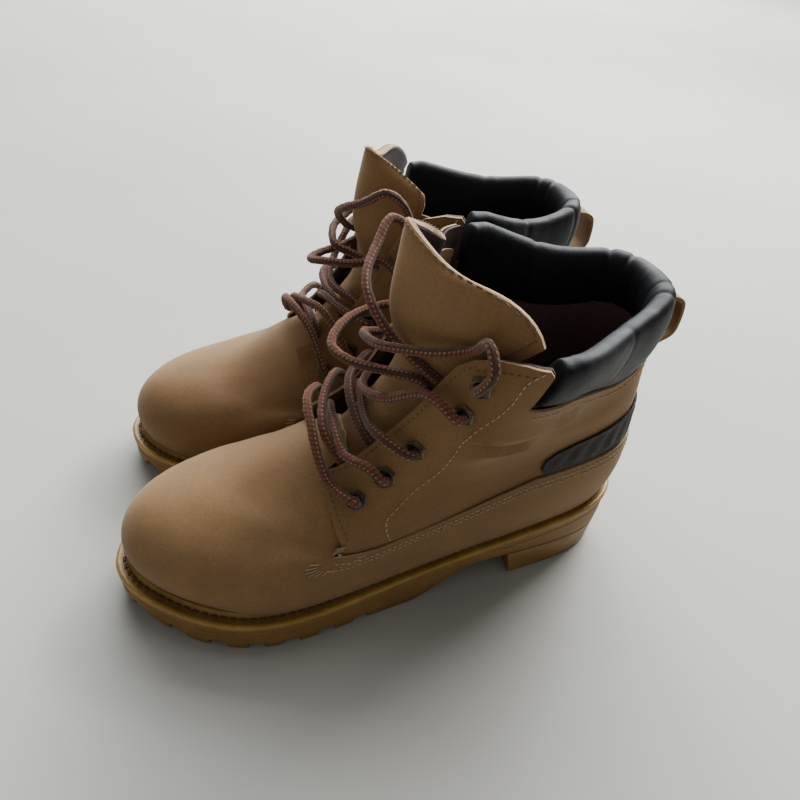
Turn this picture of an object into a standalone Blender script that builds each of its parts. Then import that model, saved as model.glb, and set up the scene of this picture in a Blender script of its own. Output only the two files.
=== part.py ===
"""A pair of six-inch lace-up hiking boots, built in layers from the sole up.

Lengths are millimetres until the last step, which scales to metres. Every boot is
laid out for the left foot, toe towards -Y, lateral side towards +X, and the right
boot is its mirror image. The upper follows one curved surface: u runs round the boot
(0 toe and instep centre line, 3 lateral side, 6 heel centre line, 9 medial side) and
v runs from the feather line (0) to the top line (10). Each leather piece is an
outline in (u, v) given a thickness along the surface normal.
"""

import math

import bmesh
import bpy
import numpy as np
from mathutils import Vector
from mathutils.geometry import delaunay_2d_cdt

MM = 0.001
BOOT_SPACING = 107.1      # between the two centre lines
STAGGER = 5.85            # how far the right boot stands behind the left one
Y_SHIFT = -0.175             # puts the middle of the pair's length on the origin

WELT_THICK = 3.6
MIDSOLE_THICK = 3.4
LAYER_GAP = 0.3
LEATHER = 1.4             # nubuck
QUARTER_OFF = 0.6         # inner face of the quarters, outside the vamp
WING_OFF = 4.0            # outer face of the vamp's wings over the quarters
LABEL_OFF = (2.7, 3.7)
LINING_OFF = (-6.4, -5.0)
FLAP_LINING_OFF = (-1.5, 0.0)
COUNTER_OFF = (-2.1, -0.3)
PUFF_OFF = (-3.5, -2.5)
HEEL_BREAST_Y = 66.0
HEEL_TOP_Z = 18.0
LUG_DEPTH = 4.5
LUG_WIDTH = 6.5
EYELET_BORE = 2.75
EYELET_BARREL = 3.6
EYELET_FLANGE = 5.3
LACE_DIAMETER = 4.3
PULL_LOOP_WIDTH = 18.0

# ------------------------------------------------------------------ the upper's surface
G = np.array([0, .06, .22, .45, .70, .92, 1.0])
FRONT = [(-141, 22.5), (-144, 37), (-139.5, 51), (-124, 62.5), (-102, 68), (-77, 75.5), (-52, 89),
         (-29, 111), (-11, 138), (1, 165), (8, 192)]
BACK = [(138, 43), (140, 52), (141.5, 62), (141, 73), (139, 85), (136.5, 98), (134, 112),
        (132, 127), (130.5, 143), (130.5, 160), (132, 176.5)]
XL = [(27, 48, 42, 33, 24), (31, 51, 44, 35, 25.5), (32.5, 51.5, 44, 36, 26.5), (31, 50, 43, 36, 27),
      (28, 46, 42, 35.5, 27), (24, 42, 40, 35, 26.5), (21, 38, 38.5, 34, 26.5), (20.5, 36.5, 38.5, 34.5, 26.5),
      (22, 38.5, 39.5, 34, 24.5), (24, 42, 43, 35.5, 24.5), (27, 47, 47.5, 37.5, 25.5)]
ZL = [(22, 21, 24, 33, 41.5), (34.5, 31, 33, 42, 50.5), (47, 41.5, 43, 51, 60), (58, 52, 52.5, 60, 70),
      (65, 61, 62.5, 70, 81), (74, 72, 74, 81.5, 93.5), (88.5, 86, 87, 94.5, 107),
      (109.5, 104, 103.5, 109.5, 122), (135.5, 128, 124.5, 128, 138.5), (162, 154.5, 149.5, 149.5, 156.5),
      (189, 182, 174.5, 171.5, 176)]
ARCH = [(2, -3, -5, -2, 0), (1, -4, -5, -2, 0), (0, -4, -4, -1.5, 0), (0, -3.5, -3, -1, 0),
        (0, -3, -2, -.5, 0), (0, -2, -1, 0, 0), (0, -1, 0, 0, 0), (0, 0, 0, 0, 0), (0, 0, 0, 0, 0),
        (0, 0, 0, 0, 0), (0, 0, 0, 0, 0)]
FLARE_LATERAL, FLARE_MEDIAL = 18.0, 0.5
DROP_LATERAL, RISE_MEDIAL = 5.0, 6.0


def control_net():
    net = np.zeros((12, 11, 3))
    for j in range(11):
        (yf, zf), (yb, zb) = FRONT[j], BACK[j]
        y = yf + (yb - yf) * G
        z = [zf, *ZL[j], zb]
        lateral = [0, *XL[j], 0]
        medial = [0, *[a + b for a, b in zip(XL[j], ARCH[j])], 0]
        for k in range(7):
            net[k, j] = (lateral[k], y[k], z[k])
        for k in range(1, 6):
            net[12 - k, j] = (-medial[k], y[k], z[k])
    n, m = 12, 11
    A = np.zeros((n, n))
    for i in range(n):
        A[i, i] = 4
        A[i, (i - 1) % n] += 1
        A[i, (i + 1) % n] += 1
    C = np.linalg.solve(A / 6, net.reshape(n, -1)).reshape(net.shape)
    B = np.zeros((m, m))
    for j in range(m):
        if j in (0, m - 1):
            B[j, j] = 6
        else:
            B[j, j - 1], B[j, j], B[j, j + 1] = 1, 4, 1
    C = np.einsum("ij,njk->nik", np.linalg.inv(B / 6), C)
    return np.concatenate([2 * C[:, :1] - C[:, 1:2], C, 2 * C[:, -1:] - C[:, -2:-1]], 1)


NET = control_net()


def smooth(a, b, x):
    t = np.clip((np.asarray(x, float) - a) / (b - a), 0, 1)
    return t * t * (3 - 2 * t)


def cubic(t):
    return np.stack([(1 - t) ** 3, 3 * t**3 - 6 * t**2 + 4, -3 * t**3 + 3 * t**2 + 3 * t + 1, t**3], -1) / 6


def surface(u, v):
    u, v = np.broadcast_arrays(np.asarray(u, float), np.asarray(v, float))
    w = u % 12
    i = np.floor(w).astype(int)
    vv = np.clip(v, 0, 10)
    j = np.minimum(np.floor(vv).astype(int), 9)
    wu, wv = cubic(w - i), cubic(vv - j)
    p = np.zeros(u.shape + (3,))
    for a in range(4):
        for b in range(4):
            p += NET[(i + a - 1) % 12, j + b] * (wu[..., a] * wv[..., b])[..., None]
    f = smooth(5.8, 10, v)
    lateral = np.exp(-(((w - 2.2) / 1.5) ** 2)) * f
    medial = np.exp(-(((9.8 - w) / 1.5) ** 2)) * f
    p[..., 0] += FLARE_LATERAL * lateral - FLARE_MEDIAL * medial
    p[..., 2] += RISE_MEDIAL * medial - DROP_LATERAL * lateral
    return p


def normal(u, v, h=1e-3):
    u, v = np.broadcast_arrays(np.asarray(u, float), np.asarray(v, float))
    v = np.clip(v, h, 10 - h)
    n = np.cross(surface(u + h, v) - surface(u - h, v), surface(u, v + h) - surface(u, v - h))
    return n / np.linalg.norm(n, axis=-1, keepdims=True)


def at(u, v, off):
    return surface(u, v) + normal(u, v) * np.asarray(off, float)[..., None]


# ------------------------------------------------------------------ mesh helpers
def inside(points, loop):
    x, y = points[:, 0], points[:, 1]
    hit = np.zeros(len(points), bool)
    px, py = loop[-1]
    for qx, qy in loop:
        cross = (qy > y) != (py > y)
        with np.errstate(divide="ignore", invalid="ignore"):
            hit ^= cross & (x < (px - qx) * (y - qy) / (py - qy) + qx)
        px, py = qx, qy
    return hit


def near(points, loop, reach):
    d = np.full(len(points), 1e9)
    a = np.asarray(loop, float)
    for p, q in zip(a, np.roll(a, -1, 0)):
        e = q - p
        t = np.clip(((points - p) @ e) / max(e @ e, 1e-12), 0, 1)
        d = np.minimum(d, np.linalg.norm(points - p - t[:, None] * e, axis=1))
    return d < reach


def refine(loop, step):
    out = []
    for p, q in zip(loop, list(loop[1:]) + [loop[0]]):
        p, q = np.array(p, float), np.array(q, float)
        n = max(1, int(math.ceil(np.linalg.norm(q - p) / step)))
        out += [tuple(p + (q - p) * k / n) for k in range(n)]
    return out


def flat_mesh(loop, holes=(), step=6.0):
    """Triangles of a flat outline: interior points lie on one shared lattice."""
    lo, hi = np.min(loop, 0), np.max(loop, 0)
    gx = np.arange(math.floor(lo[0] / step), math.ceil(hi[0] / step) + 1) * step
    gy = np.arange(math.floor(lo[1] / step), math.ceil(hi[1] / step) + 1) * step
    grid = np.array([(x, y) for x in gx for y in gy])
    keep = inside(grid, loop) & ~near(grid, loop, step * 0.4)
    for h in holes:
        keep &= ~near(grid, h, step * 0.4) & ~inside(grid, h)
    pts = [Vector(p) for p in loop]
    faces = [list(range(len(loop)))]
    for h in holes:
        faces.append(list(range(len(pts), len(pts) + len(h))))
        pts += [Vector(p) for p in h]
    pts += [Vector(p) for p in grid[keep]]
    v, _, f, *_ = delaunay_2d_cdt(pts, [], faces, 0, 1e-5)
    v = np.array([tuple(p) for p in v])
    tri = []
    for t in f:
        a, b, c = v[list(t)]
        area = (b[0] - a[0]) * (c[1] - a[1]) - (b[1] - a[1]) * (c[0] - a[0])
        if abs(area) < 1e-7:
            continue
        tri.append(tuple(t) if area > 0 else tuple(reversed(t)))
    mid = np.array([v[list(t)].mean(0) for t in tri])
    ok = inside(mid, loop)
    for h in holes:
        ok &= ~inside(mid, h)
    tri = [t for t, k in zip(tri, ok) if k]
    used = sorted({i for t in tri for i in t})
    back = {i: n for n, i in enumerate(used)}
    return v[used], [tuple(back[i] for i in t) for t in tri]


def solid(points2, tri, outer, inner):
    """A closed body between two sheets that share one flat triangulation."""
    n = len(points2)
    verts = np.concatenate([outer(points2), inner(points2)])
    faces = [tuple(t) for t in tri] + [tuple(i + n for i in reversed(t)) for t in tri]
    edge = {}
    for t in tri:
        for a, b in zip(t, t[1:] + t[:1]):
            edge[(a, b)] = edge.get((a, b), 0) + 1
    for a, b in edge:
        if (b, a) not in edge:
            faces.append((b, a, a + n, b + n))
    return verts, faces


def leather(loop, outer, inner, holes=(), su=25.6667, sv=12.0, step=11.0):
    """loop and holes are (u, v) outlines; outer and inner give the offsets."""
    scale = np.array([su, sv])
    big = refine([tuple(np.array(p) * scale) for p in loop], step)
    cut = [[tuple(np.array(p) * scale) for p in h] for h in holes]
    pts, tri = flat_mesh(big, cut, step)

    def sheet(fn):
        def place(p):
            u, v = p[:, 0] / su, p[:, 1] / sv
            off = fn(u, v) if callable(fn) else np.full(len(u), float(fn))
            return at(u, v, off)
        return place
    return solid(pts, tri, sheet(outer), sheet(inner))


def slab(loop, top, bottom, holes=(), step=8.0):
    """A plan outline between two height functions of (x, y)."""
    pts, tri = flat_mesh(loop, holes, step)

    def lay(fn):
        return lambda p: np.column_stack([p[:, 0], p[:, 1], fn(p[:, 0], p[:, 1])])
    return solid(pts, tri, lay(top), lay(bottom))


def turned(profile, centre, axis, segments):
    """Closed section (radius, height) turned about an axis."""
    axis = np.array(axis) / np.linalg.norm(axis)
    side = np.cross(axis, [0, 0, 1.0])
    side /= np.linalg.norm(side)
    other = np.cross(axis, side)
    verts, n = [], len(profile)
    for s in range(segments):
        a = 2 * math.pi * s / segments
        for k, (r, h) in enumerate(profile):
            verts.append(np.array(centre) + axis * h + (side * math.cos(a) + other * math.sin(a)) * r)
    faces = []
    for s in range(segments):
        t = (s + 1) % segments
        for k in range(n):
            m = (k + 1) % n
            faces.append((s * n + k, t * n + k, t * n + m, s * n + m))
    return np.array(verts), faces


def swept(sections):
    """Closed tube through a list of rings with flat ends."""
    n = len(sections[0])
    verts = np.concatenate(sections)
    faces = []
    for s in range(len(sections) - 1):
        for k in range(n):
            m = (k + 1) % n
            faces.append((s * n + k, s * n + m, (s + 1) * n + m, (s + 1) * n + k))
    faces.append(tuple(reversed(range(n))))
    last = (len(sections) - 1) * n
    faces.append(tuple(range(last, last + n)))
    return verts, faces


def curve_through(points, per):
    """Points read from a smooth curve through the given ones."""
    p = np.array(points, float)
    p = np.concatenate([[2 * p[0] - p[1]], p, [2 * p[-1] - p[-2]]])
    out = []
    for i in range(1, len(p) - 2):
        a, b, c, d = p[i - 1:i + 3]
        for t in np.arange(per) / per:
            out.append(0.5 * (2 * b + (c - a) * t + (2 * a - 5 * b + 4 * c - d) * t**2
                              + (3 * b - a - 3 * c + d) * t**3))
    out.append(p[-2])
    return np.array(out)


# ------------------------------------------------------------------ the sole's plan and heights
def level(y, knots):
    ys, zs = zip(*knots)
    fine = np.linspace(ys[0], ys[-1], 400)
    z = np.interp(fine, ys, zs)
    k = np.hanning(41)
    pad = np.pad(z, 20, mode="reflect", reflect_type="odd")
    return np.interp(y, fine, np.convolve(pad, k / k.sum(), "valid"))


WELT_TOP = [(-152, 21.2), (-141, 21.3), (-122, 20.7), (-100, 19.9), (-79, 19.8), (-40, 20.9), (-14, 22.8),
            (20, 26.9), (56, 31.8), (90, 36.9), (118, 40.0), (138, 41.6), (150, 42.0)]


def welt_top(x, y):
    return level(y, WELT_TOP)


def tread(y):
    """Height of the outsole's underside between toe and heel."""
    toe = 6.0 * smooth(0, 1, (-y - 104) / 44)
    arch = HEEL_TOP_Z * smooth(0, 1, (y - 2) / 44)
    return toe + arch


def plan(offset, count=72, wing=0.0):
    """Outline of the feather line moved outward; offset is a number or a function of y."""
    u = np.linspace(0, 12, count, endpoint=False)
    p = surface(u, 0.0)[:, :2]
    t = surface(u + 1e-3, 0.0)[:, :2] - surface(u - 1e-3, 0.0)[:, :2]
    n = np.column_stack([t[:, 1], -t[:, 0]])
    n /= np.linalg.norm(n, axis=1, keepdims=True)
    off = offset(p[:, 0], p[:, 1]) if callable(offset) else np.full(count, float(offset))
    return [tuple(q) for q in p + n * off[:, None]]


def rim(x, y):
    ball = np.exp(-(((y + 70) / 45) ** 2))
    return 8.4 + np.where(x > 0, 1.8, -1.4) * ball - 0.4 * smooth(20, 120, y)


# ------------------------------------------------------------------ outlines of the leather pieces
def mirrored(loop):
    return [(12 - u, v) for u, v in reversed(loop)]


FLAP_FRONT = [(0.98, 5.95), (1.08, 6.2), (1.12, 6.6), (1.11, 7.0), (1.12, 7.45), (1.13, 7.9), (1.13, 8.3),
              (1.14, 8.65), (1.18, 9.05), (1.30, 9.35), (1.54, 9.65), (1.85, 9.86), (2.15, 9.95), (2.24, 9.88)]
QUARTER = ([(2.45, 2.2), (2.40, 3.0), (2.35, 3.65), (2.20, 4.08), (2.06, 4.4), (1.68, 5.12), (1.30, 5.62),
            (1.08, 5.86)] + FLAP_FRONT + [(2.27, 9.05), (3.1, 9.05), (3.7, 8.72), (4.3, 8.32), (4.8, 8.22), (5.96, 8.2), (5.96, 2.2)])
VAMP_SIDE = [(0.5, 5.85), (1.0, 5.88), (1.24, 5.74), (1.48, 5.44), (1.83, 4.92), (2.12, 4.42), (2.3, 4.08),
             (2.36, 3.94), (2.26, 3.86), (2.26, 3.6), (2.5, 3.5), (2.71, 3.45), (3.0, 3.7), (3.3, 4.1), (3.6, 4.5),
             (3.96, 4.85), (4.4, 4.7), (4.9, 4.5), (5.4, 4.42), (5.97, 4.4)]
LABEL_HALF = [(4.02, 5.0), (3.93, 5.4), (3.90, 5.85), (3.98, 6.15), (4.2, 6.28), (4.6, 6.28), (5.2, 6.24), (6.0, 6.2)]
LABEL_LOW = [(6.0, 4.6), (5.2, 4.64), (4.6, 4.82)]
EYELETS = [(1.57, 9.08), (1.64, 8.42), (1.60, 7.25), (1.70, 6.38), (1.72, 5.62)]


def wing(u, v):
    """Outer face of the vamp: flush in front, riding over the quarters along the sides."""
    w = np.minimum(u % 12, 12 - u % 12)
    side = smooth(1.5, 2.3, w)
    over = 1 - smooth(3.6, 3.84, v) * (1 - smooth(2.55, 2.6, w))
    return WING_OFF * side * over


def lining_outer(u, v):
    w = np.minimum(u % 12, 12 - u % 12)
    s = (1 - smooth(2.25, 3.0, w)) * smooth(6.3, 7.2, v)
    return LINING_OFF[1] + (FLAP_LINING_OFF[1] - LINING_OFF[1]) * s


def lining_inner(u, v):
    return lining_outer(u, v) - 1.4


def hole_at(u, v, r, count=8):
    """A round hole, as an outline in (u, v)."""
    h = 1e-3
    du = (surface(u + h, v) - surface(u - h, v)) / (2 * h)
    dv = (surface(u, v + h) - surface(u, v - h)) / (2 * h)
    e1 = du / np.linalg.norm(du)
    e2 = dv - e1 * (dv @ e1)
    e2 /= np.linalg.norm(e2)
    lean = np.linalg.inv(np.array([[du @ e1, dv @ e1], [du @ e2, dv @ e2]]))
    turn = np.arange(count) * 2 * math.pi / count
    return [tuple(np.array([u, v]) + lean @ (r * np.array([math.cos(t), math.sin(t)]))) for t in turn]


def eyelet_holes(side, r):
    return [hole_at(u if side > 0 else 12 - u, v, r) for u, v in EYELETS]


# ------------------------------------------------------------------ the pieces of one boot
def outsole():
    return slab(plan(lambda x, y: rim(x, y) - 1.0, 48),
                lambda x, y: welt_top(x, y) - WELT_THICK - MIDSOLE_THICK - 2 * LAYER_GAP,
                lambda x, y: tread(y), step=22.0)


def lug_gaps():
    """The notches between the lugs, as one body of separate boxes that cuts the outsole."""
    verts, faces = [], []
    for y in np.arange(-120, -6, 19.0):
        for side in (1, -1):
            x0, x1 = (side * (26.0 if y < -115 else 37.0), side * 75.0)
            lo, hi = min(x0, x1), max(x0, x1)
            top = float(tread(y)) + LUG_DEPTH
            k = len(verts)
            for z in (-3.0, top):
                verts += [(lo, y - LUG_WIDTH / 2, z), (hi, y - LUG_WIDTH / 2, z), (hi, y + LUG_WIDTH / 2, z),
                          (lo, y + LUG_WIDTH / 2, z)]
            faces += [(k + 3, k + 2, k + 1, k), (k + 4, k + 5, k + 6, k + 7)]
            faces += [(k + a, k + (a + 1) % 4, k + 4 + (a + 1) % 4, k + 4 + a) for a in range(4)]
    return np.array(verts), faces


def heel_block():
    loop = [p for p in plan(lambda x, y: rim(x, y) - 1.6, 64) if p[1] > HEEL_BREAST_Y + 1]
    a, b = loop[0][0], loop[-1][0]
    loop = [(b, HEEL_BREAST_Y)] + [(b + (a - b) * k / 6, HEEL_BREAST_Y) for k in range(1, 6)] + [(a, HEEL_BREAST_Y)] + loop
    verts, faces = slab(loop, lambda x, y: np.full(len(x), HEEL_TOP_Z - LAYER_GAP), lambda x, y: np.zeros(len(x)),
                        step=18.0)
    low = verts[:, 2] < 1
    verts[low, 1] = np.where(verts[low, 1] < HEEL_BREAST_Y + 0.5, HEEL_BREAST_Y + 4.0, verts[low, 1])
    verts[low, 1] -= 1.8 * smooth(110, 145, verts[low, 1])
    return verts, faces


def midsole():
    return slab(plan(lambda x, y: rim(x, y) - 0.9, 56), lambda x, y: welt_top(x, y) - WELT_THICK - LAYER_GAP,
                lambda x, y: welt_top(x, y) - WELT_THICK - LAYER_GAP - MIDSOLE_THICK, step=22.0)


def welt():
    return slab(plan(rim, 56), lambda x, y: welt_top(x, y), lambda x, y: welt_top(x, y) - WELT_THICK,
                holes=[plan(-3.0, 36)], step=30.0)


def shank():
    loop = [(-9, -20), (9, -20), (10, 20), (10, 60), (8, 85), (-8, 85), (-10, 60), (-10, 20)]
    return slab(refine(loop, 20), lambda x, y: welt_top(x, y) - 1.2, lambda x, y: welt_top(x, y) - 2.7, step=22.0)


def cork_filler():
    loop = [p for p in plan(-4.0, 40) if p[1] < -24]
    return slab(loop, lambda x, y: welt_top(x, y) - 0.6, lambda x, y: welt_top(x, y) - 3.2, step=22.0)


def insole_board():
    return slab(plan(-7.0, 36), lambda x, y: welt_top(x, y) + 2.6, lambda x, y: welt_top(x, y) + 0.4, step=22.0)


def footbed():
    return slab(plan(-7.4, 44), lambda x, y: welt_top(x, y) + 7.0, lambda x, y: welt_top(x, y) + 3.0, step=20.0)


def toe_puff():
    return leather([(-1.6, .5), (-.8, .45), (0, .45), (.8, .45), (1.6, .5), (1.45, 2.2), (1.1, 3.0), (0, 3.3),
                    (-1.1, 3.0), (-1.45, 2.2)], PUFF_OFF[1], PUFF_OFF[0])


def heel_counter():
    return leather([(4.0, .4), (6, .4), (8.0, .4), (7.85, 4.5), (7.2, 6.2), (6, 6.5), (4.8, 6.2), (4.15, 4.5)],
                   COUNTER_OFF[1], COUNTER_OFF[0])


def vamp():
    # the wings' low edges stop clear of the welt, and the two wings meet at the heel's centre line
    side = VAMP_SIDE
    loop = [(u, 0.02) for u in np.linspace(-5.97, 5.97, 41)]
    loop += list(reversed(side)) + [(0.0, 5.8)] + [(-u, v) for u, v in side]
    return leather(loop, wing, lambda u, v: wing(u, v) - LEATHER)


def quarter(side):
    loop = QUARTER if side > 0 else mirrored(QUARTER)
    return leather(loop if side > 0 else loop, QUARTER_OFF + LEATHER, QUARTER_OFF, eyelet_holes(side, 4.4))


def lining():
    front = [(0.04, 0.7), (0.04, 4.5), (1.5, 4.4), (2.0, 4.9), (2.15, 5.8), (2.1, 6.6)]
    front += [(u + .03, v) for u, v in FLAP_FRONT[3:]]
    right = front + [(2.27, 8.55), (4.0, 8.45), (6.0, 8.4)]
    left = [(12 - u, v) for u, v in reversed(right)][1:]
    low = [(12 - u, 0.7) for u in np.linspace(0.04, 11.96, 31)][1:-1]
    loop = right + left + low
    loop = list(reversed(loop))
    holes = [h for s in (1, -1) for h in eyelet_holes(s, 4.7)]
    return leather(loop, lining_outer, lining_inner, holes)


COLLAR_SECTION = [(9.16, 0.9, 0), (9.25, 2.6, 0), (9.7, 3.7, 0), (10, 2.2, 3.4), (10, -3.0, 5.0), (10, -7.6, 2.8),
                  (9.8, -9.6, 0), (9.2, -9.4, 0), (8.74, -6.6, 0), (9.0, -2.2, 0)]
COLLAR_DROP = [1.0, 1.0, 0.4, 0, 0, 0, 0, 0, 0.1, 0.7]     # how far each point follows the lower rear edge


def collar_low(u):
    """How far below its front end the collar reaches towards the heel."""
    return 0.86 * smooth(3.0, 4.6, min(u, 12 - u))


def collar():
    rings = []
    for u in np.linspace(2.36, 9.64, 21):
        ring = []
        for (v, off, up), drop in zip(COLLAR_SECTION, COLLAR_DROP):
            p = at(np.array(u), np.array(float(v - drop * collar_low(u))), np.array(off))
            if up:
                t = surface(u, 10.0) - surface(u, 9.9)
                p = p + t / np.linalg.norm(t) * up
            ring.append(p)
        rings.append(np.array(ring)[::-1])
    return swept(rings)


def heel_label():
    half = LABEL_LOW + LABEL_HALF[:-1]
    loop = half + [LABEL_HALF[-1]] + [(12 - u, v) for u, v in reversed(LABEL_HALF[:-1])] + [(12 - u, v) for u, v in reversed(LABEL_LOW[1:])]
    return leather(list(reversed(loop)), LABEL_OFF[1], LABEL_OFF[0])


TONGUE_ROOTS = (6.2, 7.0, 8.0)          # lower rows follow the shaft, well inside it
TONGUE_INSET = 9.0
TONGUE_TOP = [  # upper rows, from the medial to the lateral edge: the tongue leans out of the shaft
    [(-29, 17, 158), (-18, 0, 166), (-2, -9, 168), (17, 0, 164), (34, 18, 149)],
    [(-32, 23, 184), (-20, 3, 193), (-3, -6, 196), (21, 4, 188), (46, 28, 163)],
    [(-24, 24, 195), (-14, 5, 204), (-3, -4.6, 207.5), (27, 13.5, 193), (56, 40, 180)],
]
TONGUE_THICK = 3.2


def tongue_point(s, t):
    """s in 0..4 across, t in 0..5 up."""
    low = [[at(np.array(u), np.array(v), np.array(-TONGUE_INSET)) for u in (-1.5, -.75, 0, .75, 1.5)]
           for v in TONGUE_ROOTS]
    rows = np.concatenate([np.array(low), np.array(TONGUE_TOP, float)])
    full = np.concatenate([[2 * rows[0] - rows[1]], rows, [2 * rows[-1] - rows[-2]]])
    full = np.concatenate([2 * full[:, :1] - full[:, 1:2], full, 2 * full[:, -1:] - full[:, -2:-1]], 1)
    i, j = min(int(t), 4), min(int(s), 3)
    a, b = t - i, s - j

    def w(x):
        return 0.5 * np.array([-x + 2 * x**2 - x**3, 2 - 5 * x**2 + 3 * x**3, x + 4 * x**2 - 3 * x**3, x**3 - x**2])
    return np.einsum("i,j,ijk->k", w(a), w(b), full[i:i + 4, j:j + 4])


def tongue_trim(s):
    """Rounds the two upper corners."""
    return 1 - 0.11 * abs(s / 2 - 1) ** 4


def tongue():
    ns, nt = 8, 8
    grid = np.array([[tongue_point(4 * s / ns, 5 * t / nt * tongue_trim(4 * s / ns)) for s in range(ns + 1)]
                     for t in range(nt + 1)])
    du = np.gradient(grid, axis=1)
    dv = np.gradient(grid, axis=0)
    n = np.cross(du, dv)
    n /= np.linalg.norm(n, axis=-1, keepdims=True)
    front = grid.reshape(-1, 3)
    back = (grid - n * TONGUE_THICK).reshape(-1, 3)
    w = ns + 1
    tri = []
    for t in range(nt):
        for s in range(ns):
            a = t * w + s
            tri += [(a, a + 1, a + w + 1), (a, a + w + 1, a + w)]
    return solid(front, tri, lambda p: front, lambda p: back)


def pull_loop():
    y0 = 132.9
    path = [(y0 + 3.4, 169), (y0 + 8.5, 167.5), (y0 + 14, 162), (y0 + 16, 154), (y0 + 14, 146.5), (y0 + 8, 142),
            (y0 + 2.4, 139)]
    mid = curve_through([(0, y, z) for y, z in path], 2)[:, 1:]
    t = np.gradient(mid, axis=0)
    n = np.column_stack([-t[:, 1], t[:, 0]])
    n /= np.linalg.norm(n, axis=1, keepdims=True)
    h = PULL_LOOP_WIDTH / 2
    rings = []
    for p, q in zip(mid + n * 1.0, mid - n * 1.0):
        rings.append(np.array([(-h, *p), (h, *p), (h, *q), (-h, *q)]))
    return swept(rings)


def eyelet(u, v):
    c = surface(np.array(u), np.array(v))
    n = normal(np.array(u), np.array(v))
    profile = [(EYELET_BORE, 0.2), (EYELET_BARREL, 0.2), (EYELET_BARREL, 3.3), (EYELET_FLANGE, 3.3),
               (EYELET_FLANGE - .5, 3.9), (EYELET_BORE + .3, 4.1)]
    return turned(profile, c, n, 6)


LACE = [  # the lace's way through the eyelets, from the lateral end to the medial one
    (20, 48, 118), (26.6, 45.8, 131.6), (34.6, 39.6, 145), (42.4, 29.2, 153), (46.8, 23, 156.2),
    (54.8, 13.6, 156.6), (61.6, 16.8, 170.2), (53, 16, 180.2), (42.4, 15.4, 169.6), (32.2, 4, 162.2),
    (22, -7, 158.6), (11, -17.4, 155.2), (-6, -19.8, 151.2), (-11.2, -10, 147.6), (-23.6, 6.6, 142.4),
    (-32, 17.6, 144.8), (-42.4, 11, 146.2), (-30, 1.8, 151.8), (-28.4, -13.4, 149.8), (-20, -27, 147.8),
    (-7.6, -34.6, 143.4), (4.6, -26, 141.4), (13.8, -11, 141), (24.4, 3, 141), (30, 4.8, 129.6),
    (32.2, 6, 119.4), (32.4, 0.8, 110.2), (42.8, -5.6, 112), (31.6, -17.6, 116.4), (19.8, -21, 115.4),
    (2.2, -19.8, 114.8), (-15.8, -17.8, 113.6), (-24.8, -14.4, 99.2), (-29.4, -12.8, 91.8), (-40, -17, 96.6),
    (-32, -23, 108.2), (-21, -29.6, 116.6), (-5.2, -37.8, 115), (10.4, -41.4, 108.8), (18, -37, 98.8),
    (23.8, -29.2, 86.2), (33, -27.4, 78.2), (42.2, -31, 85.6), (30.6, -40.8, 87.8), (21, -45.4, 98.8),
    (8.4, -46.8, 109.6), (-5.6, -46.2, 114.6), (-20.8, -39.2, 109.2), (-31.6, -34.6, 99.2),
    (-41.8, -31.2, 85.8), (-31.6, -27.6, 78.4), (-22, -29.6, 92.8), (-11.6, -33.2, 104), (10.2, -35, 106),
    (24.6, -33.4, 101.4), (36, -24.4, 102), (41.2, -17.2, 96), (30.6, -12.6, 91.4), (22, -19.8, 102.8),
    (8.8, -24.2, 110), (-6.6, -25, 118), (-21.6, -19.4, 117.8), (-35.8, -9, 116.2), (-39, -5, 115.2),
    (-28.2, 0.6, 112.4), (-18.8, -9.4, 120), (-3, -19, 122.4), (9, -19, 126), (22, -13, 132), (36, -2, 144),
    (46.4, 4.4, 144), (52, 10, 139), (42.8, 18.2, 138.6), (28.6, 8, 144), (18.2, -1.6, 150.2),
    (8.4, -10.8, 158), (-2.2, -18, 169), (-15, -17.8, 177.4), (-28, -10, 185.4), (-38.8, -0.2, 194.6),
    (-37, 12, 183.4), (-41.4, 14.4, 169), (-42.8, 14.6, 164.8), (-33.4, 22.4, 164.2), (-27.4, 29.4, 152),
    (-21.6, 37.6, 139), (-16.6, 46.2, 125), (-14, 50, 115),
]


def tube(points, radius):
    data = bpy.data.curves.new("lace_path", "CURVE")
    data.dimensions = "3D"
    data.bevel_depth = radius
    data.bevel_resolution = 2
    data.use_fill_caps = True
    spline = data.splines.new("POLY")
    spline.points.add(len(points) - 1)
    for p, q in zip(spline.points, points):
        p.co = (*q, 1.0)
    return data


# ------------------------------------------------------------------ materials
PALETTE = {
    "nubuck": ((0.235, 0.165, 0.098), 0.9, 0.0),
    "nubuck_tongue": ((0.245, 0.175, 0.108), 0.9, 0.0),
    "collar": ((0.018, 0.018, 0.021), 0.42, 0.0),
    "lining": ((0.028, 0.021, 0.018), 0.85, 0.0),
    "rubber_tan": ((0.20, 0.125, 0.052), 0.65, 0.0),
    "rubber_amber": ((0.26, 0.135, 0.035), 0.5, 0.0),
    "welt": ((0.30, 0.19, 0.062), 0.6, 0.0),
    "label": ((0.03, 0.023, 0.018), 0.6, 0.0),
    "eyelet": ((0.045, 0.035, 0.03), 0.4, 0.9),
    "lace": ((0.12, 0.055, 0.032), 0.9, 0.0),
    "board": ((0.28, 0.2, 0.12), 0.9, 0.0),
    "steel": ((0.45, 0.45, 0.47), 0.35, 1.0),
    "foam": ((0.06, 0.055, 0.05), 0.9, 0.0),
    "cork": ((0.33, 0.2, 0.1), 0.95, 0.0),
}


def material(node, key):
    colour, rough, metal = PALETTE[key]
    m = bpy.data.materials.new(node + "_material")
    m.use_nodes = True
    b = m.node_tree.nodes["Principled BSDF"]
    b.inputs["Base Color"].default_value = (*colour, 1)
    b.inputs["Roughness"].default_value = rough
    b.inputs["Metallic"].default_value = metal
    m.diffuse_color = (*colour, 1)
    return m


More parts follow.
